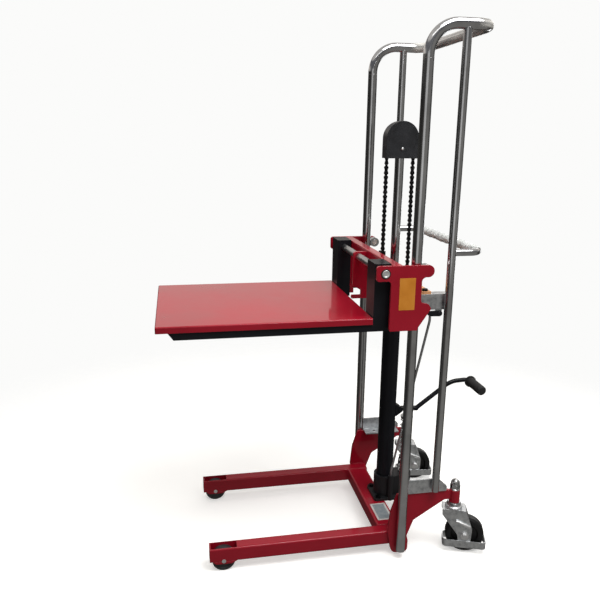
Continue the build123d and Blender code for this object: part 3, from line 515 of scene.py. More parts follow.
# Sand-cast pump block under black paint: coarse skin, dull.
CASTING = Moulding(
    "casting_black", "#16171A", "#101113", "#202124",
    patch_mm=40, rough_low=0.42, rough_high=0.62, grain_mm=4, grain_depth_mm=0.25,
)
# Moulded ABS cover: black with a fine spark-eroded grain that greys the highlights.
ABS = Moulding(
    "abs_black_grained", "#222326", "#1B1C1E", "#2A2B2E",
    patch_mm=45, rough_low=0.4, rough_high=0.52, grain_mm=2.2, grain_depth_mm=0.05,
)
# Rubber foot grip: matt, a little dusty.
RUBBER = Moulding(
    "rubber_black", "#1A1A1B", "#141415", "#262627",
    patch_mm=25, rough_low=0.6, rough_high=0.8, grain_mm=3, grain_depth_mm=0.12,
)
# Black nylon of the caster wheels and plugs: satin and scuffed. It also colours the black rings of painted shadow
# round the shaft ends.
NYLON = Moulding(
    "nylon_black", "#0A0A0B", "#070708", "#121213",
    patch_mm=18, rough_low=0.42, rough_high=0.58, grain_mm=3, grain_depth_mm=0.05,
)
# Nylon load roller: dark grey, satin.
ROLLER = Moulding(
    "nylon_grey", "#2E2F31", "#252628", "#3B3C3E",
    patch_mm=16, rough_low=0.36, rough_high=0.52, grain_mm=3, grain_depth_mm=0.05,
)
# Stretch film in several layers: milky and shiny, with fine creases that run round the bar.
THICK_FILM = Moulding(
    "film_layered", "#CDD0CE", "#B3B7B4", "#E0E2E0",
    patch_mm=22, rough_low=0.16, rough_high=0.36, grain_mm=6, grain_depth_mm=0.9, edge_mm=0.3,
)
# One or two layers of the same film: clear, so that the chrome shows through its shine.
THIN_FILM = Film(
    "film_single", "#D6D4CE", "#C2C0BA", "#E4E2DC",
    patch_mm=30, rough_low=0.1, rough_high=0.22, grain_mm=40, grain_depth_mm=0.5, edge_mm=0.3,
)
# Plain vinyl label: flat orange with a soft sheen.
VINYL = Moulding(
    "vinyl_orange", "#CF8428", "#C77B22", "#D58C33",
    patch_mm=40, rough_low=0.34, rough_high=0.44, grain_mm=5, grain_depth_mm=0.01, edge_mm=0.1,
)
# Anodised aluminium plate: pale and satin, so that its rim stands out from the paint.
ANODISED = Moulding(
    "aluminium_anodised", "#CBC7C4", "#BDB9B6", "#D6D3D0",
    patch_mm=25, rough_low=0.34, rough_high=0.46, grain_mm=4, grain_depth_mm=0.01,
)
# Grey field of the same plate: cooler and darker than its rim, a little blotchy.
GREY_FIELD = Moulding(
    "aluminium_dyed_grey", "#899297", "#7A8489", "#98A0A4",
    patch_mm=14, rough_low=0.36, rough_high=0.5, grain_mm=4, grain_depth_mm=0.01,
)
# Black oxide on bolts and washers: nearly black, with an oily half gloss.
OXIDE = Metal(
    "steel_black_oxide", "#232425", "#191A1B", "#303132",
    patch_mm=10, rough_low=0.3, rough_high=0.46,
)

FINISHES: dict[Slot, Finish] = {
    Slot.RED_PAINT: RED,
    Slot.BLACK_PAINT: BLACK,
    Slot.CHROME: CHROME,
    Slot.ZINC: ZINC,
    Slot.PRIMER: PRIMER,
    Slot.STEEL: STEEL,
    Slot.CHAIN_STEEL: CHAIN,
    Slot.CAST_IRON: CASTING,
    Slot.COVER_PLASTIC: ABS,
    Slot.GRIP_RUBBER: RUBBER,
    Slot.WHEEL_NYLON: NYLON,
    Slot.ROLLER_NYLON: ROLLER,
    Slot.FILM: THICK_FILM,
}

# Nodes whose surface differs from the others of their slot: clean fasteners, the bare release rod, blackened
# bolts and oiled anchors.
NODE_FINISHES: dict[str, Finish] = {
    "caster_axle_left": SCREW,
    "caster_axle_right": SCREW,
    "roller_pins": SCREW,
    "load_axles": SCREW,
    "release_rod": STEEL,
    "frame_bolts": OXIDE,
    "chain_anchor_front": CHAIN,
    "chain_anchor_rear": CHAIN,
}


def make_piece(
    shape: bmesh.types.BMesh,
    name: str,
    finish: Finish,
    body: Body | None,
    crease: float = 35.0,
) -> bpy.types.Object:
    """Turn a bmesh into a finished piece whose faces point outwards.

    Args:
        shape: the bmesh, which is freed.
        name: name of the piece.
        finish: its finish.
        body: CAD body that it rides on, or None if it is blended later.
        crease: angle in degrees above which an edge stays sharp.

    Returns:
        The object.
    """
    bmesh.ops.recalc_face_normals(shape, faces=shape.faces[:])
    mesh = bpy.data.meshes.new(name)
    shape.to_mesh(mesh)
    shape.free()
    mesh.shade_smooth()
    mesh.set_sharp_from_angle(angle=math.radians(crease))
    mesh.materials.append(finish.material())
    piece = bpy.data.objects.new(name, mesh)
    bpy.context.scene.collection.objects.link(piece)
    if body is not None:
        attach(piece, body.value)
    log.info("piece %s: %d faces", name, len(mesh.polygons))
    return piece


def verts_of(geom: list) -> list[bmesh.types.BMVert]:
    """Return the vertices of an operator's geometry."""
    return [item for item in geom if isinstance(item, bmesh.types.BMVert)]


def edges_of(geom: list) -> list[bmesh.types.BMEdge]:
    """Return the edges of an operator's geometry."""
    return [item for item in geom if isinstance(item, bmesh.types.BMEdge)]


def turned(
    profile: Sequence[tuple[float, float]], centre: Vector, axis: Vector, steps: int = 32
) -> bmesh.types.BMesh:
    """Spin a profile round an axis.

    Args:
        profile: (radius, place along the axis) points, in mm.
        centre: point on the axis where the place is 0.
        axis: direction of the axis.
        steps: segments of the full turn.

    Returns:
        The bmesh.
    """
    shape = bmesh.new()
    side = axis.orthogonal().normalized()
    places = [centre + side * (radius * MM) + axis * (along * MM) for radius, along in profile]
    verts = [shape.verts.new(place) for place in places]
    edges = [shape.edges.new(pair) for pair in zip(verts, verts[1:])]
    bmesh.ops.spin(
        shape,
        geom=verts + edges,
        cent=centre,
        axis=axis,
        angle=2 * math.pi,
        steps=steps,
        use_merge=True,
        use_duplicate=False,
    )
    bmesh.ops.remove_doubles(shape, verts=shape.verts[:], dist=1e-6)
    return shape


@dataclass
class ReturnSpring:
    """Coil spring of the foot pump, with a closed turn at each end.

    Attributes:
        centre: point where the spring's axis meets the floor.
        foot: height of the wire's middle at the lower end.
        head: height of the wire's middle at the upper end.
        wire: thickness of the wire.
        radius: mean radius of the coil.
        turns: number of open turns.
        steps_per_turn: segments of one turn.
        sides: sides of the wire's section.
        closing: rise of a closed turn, as a share of the wire.
    """

    centre: Vector
    foot: float
    head: float
    wire: float
    radius: float = 20 * MM
    turns: int = 10
    steps_per_turn: int = 28
    sides: int = 12
    closing: float = 1.02

    def build(self) -> bpy.types.Object:
        """Build the spring, stretched between the pump block and the plunger.

        Returns:
            The object.
        """
        shape = bmesh.new()
        slope = (self.head - self.foot) / self.turns / (2 * math.pi * self.radius)
        tilt = Matrix.Rotation(math.pi / 2 - math.atan(slope), 4, "X")
        start = Matrix.Translation(self.centre + Vector((self.radius, 0, self.foot)))
        section = bmesh.ops.create_circle(
            shape, cap_ends=False, segments=self.sides, radius=self.wire / 2, matrix=start @ tilt
        )
        geom = section["verts"] + shape.edges[:]
        closed = self.wire * self.closing
        rises = ((1, closed), (self.turns, (self.head - self.foot - 2 * closed) / self.turns), (1, closed))
        for turns, rise in rises:
            spun = bmesh.ops.spin(
                shape,
                geom=geom,
                cent=self.centre,
                axis=(0, 0, 1),
                dvec=(0, 0, rise / self.steps_per_turn),
                angle=2 * math.pi * turns,
                steps=turns * self.steps_per_turn,
                use_merge=False,
                use_duplicate=False,
            )
            geom = spun["geom_last"]
        bmesh.ops.holes_fill(shape, edges=[e for e in shape.edges if e.is_boundary], sides=0)
        spring = make_piece(shape, "pump_spring", STEEL, None)
        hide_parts("return_spring")
        foot = self.centre + Vector((0, 0, self.foot))
        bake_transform(spring, Body.FRAME.value, Body.PLUNGER.value, foot, self.centre + Vector((0, 0, self.head)))
        return spring


@dataclass
class LeafChain:
    """Straight run of leaf chain: paired outer plates, two centre plates and riveted pins.

    Attributes:
        name: name of the piece.
        y: place of the pins.
        top: height of the sheave's axle.
        links: number of links.
        pitch: distance between pins.
        height: width of a plate at its pins.
        seated: links that come near the sheave, inside the cover.
        seated_height: width of their plates, which clears the bottom of the groove.
        waist: width of a plate between its pins, as a share.
        pin_radius: radius of a pin.
        pin_half: half of a pin's length.
        pin_edge: rounding of a pin's riveted ends.
        plate_sides: sides of a plate's two round ends together.
        pin_sides: sides of a pin.
        outer_plates: x places of the two faces of each outer plate, in mm.
        centre_plates: the same of each centre plate.
    """

    name: str
    y: float
    top: float
    links: int
    pitch: float = 15.875 * MM
    height: float = 14.2 * MM
    seated: int = 6
    seated_height: float = 12.6 * MM
    waist: float = 0.56
    pin_radius: float = 2.7 * MM
    pin_half: float = 5.1 * MM
    pin_edge: float = 0.7 * MM
    plate_sides: int = 16
    pin_sides: int = 12
    outer_plates: tuple[tuple[float, float], ...] = ((-4.1, -2.1), (2.1, 4.1))
    centre_plates: tuple[tuple[float, float], ...] = ((-2.0, -0.1), (0.1, 2.0))

    def plate(self, shape: bmesh.types.BMesh, z: float, left: float, right: float, height: float) -> None:
        """Add one waisted plate that reaches up from a pin.

        Args:
            shape: bmesh to add to.
            z: height of the pin.
            left: x place of one face.
            right: x place of the other face.
            height: width of the plate at its pins.
        """
        lay = Matrix.Translation((left, self.y, z)) @ Matrix.Rotation(math.pi / 2, 4, "Y")
        lay = lay @ Matrix.Rotation(math.pi / self.plate_sides, 4, "Z")
        ring = bmesh.ops.create_circle(
            shape, cap_ends=True, segments=self.plate_sides, radius=height / 2, matrix=lay
        )["verts"]
        upper = [v for v in ring if v.co.z > z]
        bmesh.ops.translate(shape, verts=upper, vec=(0, 0, self.pitch))
        face = ring[0].link_faces[0]
        # Only the two straight sides are about as long as the pitch.
        long_edges = [e for e in face.edges if e.calc_length() > self.pitch * 0.8]
        cut = bmesh.ops.subdivide_edges(shape, edges=long_edges, cuts=1)["geom_inner"]
        waist = verts_of(cut)
        for vert in waist:
            vert.co.y = self.y + (vert.co.y - self.y) * self.waist
        halves = list({f for v in waist for f in v.link_faces})
        grown = bmesh.ops.extrude_face_region(shape, geom=halves)["geom"]
        bmesh.ops.translate(shape, verts=verts_of(grown), vec=(right - left, 0, 0))

    def pin(self, shape: bmesh.types.BMesh, z: float) -> None:
        """Add one pin with rounded ends.

        Args:
            shape: bmesh to add to.
            z: height of the pin.
        """
        pin = bmesh.ops.create_cone(
            shape,
            cap_ends=True,
            segments=self.pin_sides,
            radius1=self.pin_radius,
            radius2=self.pin_radius,
            depth=2 * self.pin_half,
            matrix=Matrix.Translation((0, self.y, z)) @ Matrix.Rotation(math.pi / 2, 4, "Y"),
        )["verts"]
        rims = {e for v in pin for e in v.link_edges if abs(e.verts[0].co.x - e.verts[1].co.x) < 1e-7}
        bmesh.ops.bevel(
            shape,
            geom=list(rims),
            offset=self.pin_edge,
            segments=2,
            profile=0.5,
            affect="EDGES",
            material=-1,
        )

    def build(self, node: str, upper: Body, lower: Body, spare: float) -> bpy.types.Object:
        """Build the run and stretch it between two bodies.

        Args:
            node: CAD node that it stands for.
            upper: body at the top of the run.
            lower: body at the foot of the run.
            spare: how far the change reaches past both ends, so that the links never fold over.

        Returns:
            The object.
        """
        shape = bmesh.new()
        for k in range(1, self.links + 1):
            z = self.top - k * self.pitch
            height = self.seated_height if k <= self.seated else self.height
            for left, right in self.outer_plates if k % 2 else self.centre_plates:
                self.plate(shape, z, left * MM, right * MM, height)
            self.pin(shape, z)
        run = make_piece(shape, self.name, CHAIN, None)
        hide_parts(node)
        start = (0, self.y, self.top - self.links * self.pitch - spare)
        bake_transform(run, lower.value, upper.value, start, (0, self.y, self.top + spare))
        return run


@dataclass
class FilmWrap:
    """Packing film wound on a crossbar: loose layers with creases and drawn-in ends.

    Attributes:
        y: place of the bar's axis.
        z: height of the bar's axis.
        half_length: half of the straight part that is wrapped.
        inner: radius of the innermost layer.
        outer: radius of the loosest fold.
        seed: changes the creases.
        corner: bend radius of the tube where the film goes on round both corners, or 0.
        turn: angle of each bend that the film covers.
        arm: how far it goes on along the side arms after a full bend.
        material: index of its material.
        streak: how often the creases change along the bar, per metre, and round it, per radian.
        ragged: how far the torn ends run in and out.
        step: length of one segment along the bar.
        sides: sides of the wrap's section.
        bend_steps: segments of a bend.
        lay: advance of the film along the bar in one turn.
        stray: how far the turns stray from an even spiral, in turns, and how often, per metre.
        folds: how often the loose folds change along the bar, per metre, and round it, per radian.
        fold_seed: added to the seed for the folds.
        crease_power: power that widens the creases.
        swell: looseness of the wrap, and what layer, fold and crease add to it or take away.
        tightest: least looseness anywhere, as a share.
        drawn_in: length of each end that is drawn in to the bar.
        end_share: looseness that is left at the very end, as a share.
        torn: length of each end that is torn.
        tears: how often the torn end changes round the bar, per radian.
        milk: how often the milky streaks change along the bar, per metre, and round it.
        milk_contrast: how sharply they change.
        milk_fade: length of each end where they fade out.
    """

    y: float
    z: float
    half_length: float
    inner: float
    outer: float
    seed: float
    corner: float = 0.0
    turn: float = math.pi / 2
    arm: float = 0.0
    material: int = 0
    streak: tuple[float, float] = (95.0, 1.6)
    ragged: float = 12.0 * MM
    step: float = 3.0 * MM
    sides: int = 40
    bend_steps: int = 24
    lay: float = 34.0 * MM
    stray: tuple[float, float] = (0.35, 14.0)
    folds: tuple[float, float] = (34.0, 0.9)
    fold_seed: float = 7.0
    crease_power: float = 0.7
    swell: tuple[float, float, float, float] = (0.35, 0.42, 0.34, -0.38)
    tightest: float = 0.06
    drawn_in: float = 12.0 * MM
    end_share: float = 0.25
    torn: float = 20.0 * MM
    tears: float = 1.4
    milk: tuple[float, float] = (7.0, 2.1)
    milk_contrast: float = 1.5
    milk_fade: float = 30.0 * MM

    def grow(
        self, shape: bmesh.types.BMesh, rim: list[bmesh.types.BMEdge], way: Vector
    ) -> list[bmesh.types.BMEdge]:
        """Draw a rim of edges out along a straight line.

        Args:
            shape: bmesh of the film.
            rim: edges to draw out.
            way: how far, and which way.

        Returns:
            The new rim.
        """
        count = max(2, round(way.length / self.step))
        for _ in range(count):
            grown = bmesh.ops.extrude_edge_only(shape, edges=rim)["geom"]
            rim = edges_of(grown)
            bmesh.ops.translate(shape, verts=verts_of(grown), vec=way / count)
        return rim

    def bend(self, shape: bmesh.types.BMesh, rim: list[bmesh.types.BMEdge], side: int) -> None:
        """Carry a rim round the corner on one side and along the arm.

        Args:
            shape: bmesh of the film.
            rim: edges at the start of the corner.
            side: 1 on the left, -1 on the right.
        """
        bent = bmesh.ops.spin(
            shape,
            geom=rim + list({v for e in rim for v in e.verts}),
            cent=(side * self.half_length, self.y - self.corner, self.z),
            axis=(0, 0, -side),
            angle=self.turn,
            steps=self.bend_steps,
            use_duplicate=False,
        )["geom_last"]
        if self.arm:
            self.grow(shape, edges_of(bent), Vector((0, -self.arm, 0)))

    def add(self, shape: bmesh.types.BMesh) -> None:
        """Add this wrap to a bmesh.

        Args:
            shape: bmesh of the film, with its layer of milkiness.
        """
        old_verts, old_faces = set(shape.verts), set(shape.faces)
        lay = Matrix.Translation((-self.half_length, self.y, self.z)) @ Matrix.Rotation(math.pi / 2, 4, "Y")
        ring = bmesh.ops.create_circle(
            shape, cap_ends=False, segments=self.sides, radius=self.inner, matrix=lay
        )["verts"]
        first = list({e for v in ring for e in v.link_edges})
        last = self.grow(shape, first, Vector((2 * self.half_length, 0, 0)))
        if self.corner:
            self.bend(shape, last, 1)
            self.bend(shape, first, -1)
        veil = shape.verts.layers.float[VEIL]
        for vert in [v for v in shape.verts if v not in old_verts]:
            vert[veil] = self.veil(vert)
            self.crumple(vert)
        for face in [f for f in shape.faces if f not in old_faces]:
            face.material_index = self.material

    def station(self, place: Vector) -> tuple[Vector, Vector, float]:
        """Find where a point sits along the tube.

        Args:
            place: the point.

        Returns:
            Middle of the tube there, its outward side, and the length along it from the mid plane.
        """
        side = math.copysign(1, place.x)
        if not self.corner or abs(place.x) <= self.half_length:
            return Vector((place.x, self.y, self.z)), Vector((0, 1, 0)), place.x
        pivot = Vector((side * self.half_length, self.y - self.corner, self.z))
        if place.y < pivot.y:
            length = self.half_length + self.corner * math.pi / 2 + pivot.y - place.y
            middle = Vector((pivot.x + side * self.corner, place.y, self.z))
            return middle, Vector((side, 0, 0)), side * length
        out = Vector((place.x - pivot.x, place.y - pivot.y, 0)).normalized()
        length = self.half_length + self.corner * math.atan2(abs(out.x), out.y)
        return pivot + out * self.corner, out, side * length

    def reach(self) -> float:
        """Return the length along the tube from the mid plane to an end of the film."""
        return self.half_length + self.corner * self.turn + self.arm

    def veil(self, vert: bmesh.types.BMVert) -> float:
        """Say how milky the film is at one point, in streaks along the tube that fade out at its ends.

        Args:
            vert: the point, before it is crumpled.

        Returns:
            The milkiness, from 0 to 1.
        """
        middle, out, length = self.station(vert.co)
        across = (vert.co - middle).normalized()
        along, round_bar = self.milk
        place = Vector((length * along, across.dot(out) * round_bar, across.z * round_bar + self.seed))
        shade = clamp(0.5 + self.milk_contrast * noise.noise(place))
        return shade * min(1.0, (self.reach() - abs(length)) / self.milk_fade)

    def crumple(self, vert: bmesh.types.BMVert) -> None:
        """Push one point out to a layer of the wrap, with spiral creases, and in at the ends.

        Args:
            vert: the point, which is moved.
        """
        middle, out, length = self.station(vert.co)
        across = (vert.co - middle).normalized()
        angle = math.atan2(across.z, across.dot(out))
        stray = self.stray[0] * noise.noise(Vector((length * self.stray[1], self.seed, 0)))
        spiral = length / self.lay + angle / (2 * math.pi) + stray
        layer = spiral - math.floor(spiral)
        creases = Vector((length * self.streak[0], angle * self.streak[1], self.seed))
        crease = abs(noise.noise(creases)) ** self.crease_power
        folds = Vector((length * self.folds[0], angle * self.folds[1], self.seed + self.fold_seed))
        fold = noise.noise(folds)
        swell = sum(share * part for share, part in zip(self.swell, (1.0, layer, fold, crease)))
        left = self.reach() - abs(length)
        drawn = self.end_share + (1 - self.end_share) * clamp(left / self.drawn_in)
        loose = clamp(swell, self.tightest) * drawn
        near_end = max(0.0, 1.0 - left / self.torn)
        slip = self.ragged * near_end * noise.noise(Vector((angle * self.tears, self.seed, length)))
        onward = out.cross(UP) * math.copysign(1, length)
        vert.co = middle + across * (self.inner + (self.outer - self.inner) * loose) + onward * slip


@dataclass
class PackingFilm:
    """The film on both crossbars, which stays on until the first use.

    Attributes:
        wraps: the wrap on each crossbar.
    """

    wraps: tuple[FilmWrap, ...]

    def build(self) -> bpy.types.Object:
        """Build all the wraps as one piece.

        Returns:
            The object.
        """
        shape = bmesh.new()
        shape.verts.layers.float.new(VEIL)
        for wrap in self.wraps:
            wrap.add(shape)
        piece = make_piece(shape, "film_wraps", THIN_FILM, Body.FRAME, crease=60)
        piece.data.materials.append(THICK_FILM.material())
        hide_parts("packing_wraps")
        return piece


@dataclass
class Labels:
    """Bare plate on the beam and plain label on the carriage, with the plate's rivets.

    Attributes:
        plate_low: corner of the plate's back with the least coordinates.
        plate_high: corner of the plate's back with the greatest.
        label_low: corner of the label's back with the least coordinates.
        label_high: corner of the label's back with the greatest.
        plate_corner: corner radius of the plate.
        plate_thick: thickness of the plate.
        field_inset: width of the plate's pale rim.
        field_corner: corner radius of its grey field.
        field_thick: thickness of its grey field.
        rivet_inset: distance of a rivet from the plate's edges.
        rivet: profile of a rivet's head, in mm.
        label_corner: corner radius of the label.
        label_thick: thickness of the label.
    """

    plate_low: Vector
    plate_high: Vector
    label_low: Vector
    label_high: Vector
    plate_corner: float = 2 * MM
    plate_thick: float = 0.6 * MM
    field_inset: float = 7 * MM
    field_corner: float = 1 * MM
    field_thick: float = 0.15 * MM
    rivet_inset: float = 4 * MM
    rivet: tuple[tuple[float, float], ...] = ((0, 1.1), (0.9, 0.9), (1.6, 0.4), (1.8, 0))
    label_corner: float = 1.5 * MM
    label_thick: float = 0.25 * MM

    def card(
        self, middle: Vector, half: tuple[float, float], turn: Matrix, corner: float, thick: float
    ) -> bmesh.types.BMesh:
        """Make a flat card with round corners.

        Args:
            middle: middle of its back.
            half: half sizes along its own x and y.
            turn: turns its own z to the way that it faces.
            corner: corner radius.
            thick: thickness.

        Returns:
            The bmesh.
        """
        shape = bmesh.new()
        bmesh.ops.create_grid(shape, x_segments=1, y_segments=1, size=1.0)
        bmesh.ops.scale(shape, vec=(half[0], half[1], 1), verts=shape.verts[:])
        bmesh.ops.bevel(
            shape,
            geom=shape.verts[:],
            offset=corner,
            segments=4,
            profile=0.5,
            affect="VERTICES",
            material=-1,
        )
        grown = bmesh.ops.extrude_face_region(shape, geom=shape.faces[:])["geom"]
        bmesh.ops.translate(shape, verts=verts_of(grown), vec=(0, 0, thick))
        bmesh.ops.transform(shape, matrix=Matrix.Translation(middle) @ turn, verts=shape.verts[:])
        return shape

    def build(self) -> None:
        """Build the plate, its field and rivets, and the label."""
        flat = Matrix.Identity(4)
        middle = (self.plate_low + self.plate_high) / 2
        size = (self.plate_high - self.plate_low) / 2
        shape = self.card(middle, (size.x, size.y), flat, self.plate_corner, self.plate_thick)
        make_piece(shape, "data_plate", ANODISED, Body.FRAME)
        face = middle + Vector((0, 0, self.plate_thick))
        inside = (size.x - self.field_inset, size.y - self.field_inset)
        field = self.card(face, inside, flat, self.field_corner, self.field_thick)
        make_piece(field, "data_plate_field", GREY_FIELD, Body.FRAME)
        for index, (sx, sy) in enumerate(((-1, -1), (1, -1), (1, 1), (-1, 1))):
            place = face + Vector((sx * (size.x - self.rivet_inset), sy * (size.y - self.rivet_inset), 0))
            rivet = turned(self.rivet, place, UP, 12)
            make_piece(rivet, f"plate_rivet_{index}", STEEL, Body.FRAME)
        middle = (self.label_low + self.label_high) / 2
        size = (self.label_high - self.label_low) / 2
        facing = Matrix.Rotation(math.pi / 2, 4, "Y") @ Matrix.Rotation(math.pi / 2, 4, "Z")
        shape = self.card(middle, (size.y, size.z), facing, self.label_corner, self.label_thick)
        make_piece(shape, "plain_label", VINYL, Body.CARRIAGE)


@dataclass
class CoverScrews:
    """Screw on each face of the chain cover, sunk in a shallow cup.

    Attributes:
        y: place of the screws.
        z: height of the screws.
        face: distance of the cover's faces from the mid plane.
        cup: profile of a cup, in mm.
        head: profile of a screw's head with its socket, in mm.
    """

    y: float
    z: float
    face: float
    cup: tuple[tuple[float, float], ...] = (
        (5.2, SEAT_LIFT),
        (5.4, 0.9),
        (6.4, 1.0),
        (7.2, 0.6),
        (7.4, SEAT_LIFT),
    )
    head: tuple[tuple[float, float], ...] = (
        (0, 1.4),
        (0.8, 1.4),
        (1.1, 2.2),
        (2.6, 2.5),
        (3.8, 2.0),
        (4.6, 1.0),
        (4.8, SEAT_LIFT),
    )

    def build(self) -> None:
        """Build both screws with their cups."""
        for side, sign in SIDES:
            axis = Vector((sign, 0, 0))
            centre = Vector((sign * self.face, self.y, self.z))
            cup = turned(self.cup, centre, axis)
            make_piece(cup, f"cover_cup_{side}", ABS, Body.RAM)
            screw = turned(self.head, centre, axis)
            make_piece(screw, f"cover_screw_{side}", SCREW, Body.RAM)


@dataclass
class ShaftEnds:
    """Turned ends of the fork shaft: a chamfered rim round a shallow dish, in a black ring of painted shadow for
    the gap round the shaft.

    Attributes:
        y: place of the shaft's axis.
        z: height of the shaft's axis.
        face: distance of the shaft's ends from the mid plane.
        radius: radius of the shaft, in mm.
        plate_face: distance of the side plates' outer faces from the mid plane.
        play: gap between the shaft and the black ring, in mm.
        shade_rim: width of the black ring that paints the shadow in the gap round the shaft, in mm.
        shade_rim_thick: thickness of that ring, in mm.
        chamfer: chamfer of that ring, in mm.
        dish: profile of the shaft's end: share of its radius, and height in mm.
    """

    y: float
    z: float
    face: float
    radius: float
    plate_face: float
    play: float = 0.1
    shade_rim: float = 3.2
    shade_rim_thick: float = 1.0
    chamfer: float = 0.4
    dish: tuple[tuple[float, float], ...] = (
        (0, 0.05),
        (0.62, 0.05),
        (0.7, 0.9),
        (0.86, 1.3),
        (0.95, 0.9),
        (0.99, SEAT_LIFT),
    )

    def build(self) -> None:
        """Build the rims, and the black rings of painted shadow round them, on both sides."""
        hole = self.radius + self.play
        edge = self.radius + self.shade_rim
        ring = [
            (hole, SEAT_LIFT),
            (hole, self.shade_rim_thick),
            (edge - self.chamfer, self.shade_rim_thick),
            (edge, self.shade_rim_thick - self.chamfer),
            (edge, SEAT_LIFT),
        ]
        rim = [(share * self.radius, along) for share, along in self.dish]
        for side, sign in SIDES:
            axis = Vector((sign, 0, 0))
            # Black ring on the side plate's face round each shaft end: painted shadow of the gap round the shaft.
            shape = turned(ring, Vector((sign * self.plate_face, self.y, self.z)), axis)
            make_piece(shape, f"shaft_shade_ring_{side}", NYLON, Body.CARRIAGE)
            shape = turned(rim, Vector((sign * self.face, self.y, self.z)), axis)
            make_piece(shape, f"shaft_rim_{side}", SCREW, Body.CARRIAGE)


@dataclass
class CasterLedges:
    """Rolled bright edge on the pressed ledge across each cheek of the caster forks.

    Attributes:
        stem: largest radius of a caster stem, which gives the swivel axis from the stems' box.
        back: middle of the ledge, behind the swivel axis.
        height: middle of the ledge above the floor.
        face: middle of the rolled edge, out from the fork's mid plane.
        half_length: half of its straight part, in mm.
        radius: its radius, in mm.
        tilt: its slope down to the back, in degrees.
    """

    stem: float = 22 * MM
    back: float = 34 * MM
    height: float = 111 * MM
    face: float = 28 * MM
    half_length: float = 24
    radius: float = 4.6
    tilt: float = 22.0

    def build(self) -> None:
        """Build the edge on both cheeks of both casters."""
        low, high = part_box("caster_stems")
        slope = math.radians(self.tilt)
        dome = [(0.0, 1.0), (0.38, 0.92), (0.71, 0.71), (0.92, 0.38), (1.0, 0.0)]
        capsule = [(r * self.radius, -self.half_length - a * self.radius) for r, a in dome]
        capsule += [(r * self.radius, self.half_length + a * self.radius) for r, a in reversed(dome)]
        for (side, sign), body in zip(SIDES, (Body.CASTER_LEFT, Body.CASTER_RIGHT)):
            swivel = Vector((sign * (high.x - self.stem), (low.y + high.y) / 2, 0))
            wheel_low, wheel_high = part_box(f"caster_wheel_{side}")
            trail = (wheel_low + wheel_high) / 2 - swivel
            trail.z = 0
            trail.normalize()
            across = Vector((trail.y, -trail.x, 0))
            axis = trail * math.cos(slope) - Vector((0, 0, math.sin(slope)))
            middle = swivel + trail * self.back + Vector((0, 0, self.height))
            for cheek, way in (("outer", sign), ("inner", -sign)):
                shape = turned(capsule, middle + across * (way * self.face), axis, 20)
                make_piece(shape, f"caster_ledge_{side}_{cheek}", SCREW, body)


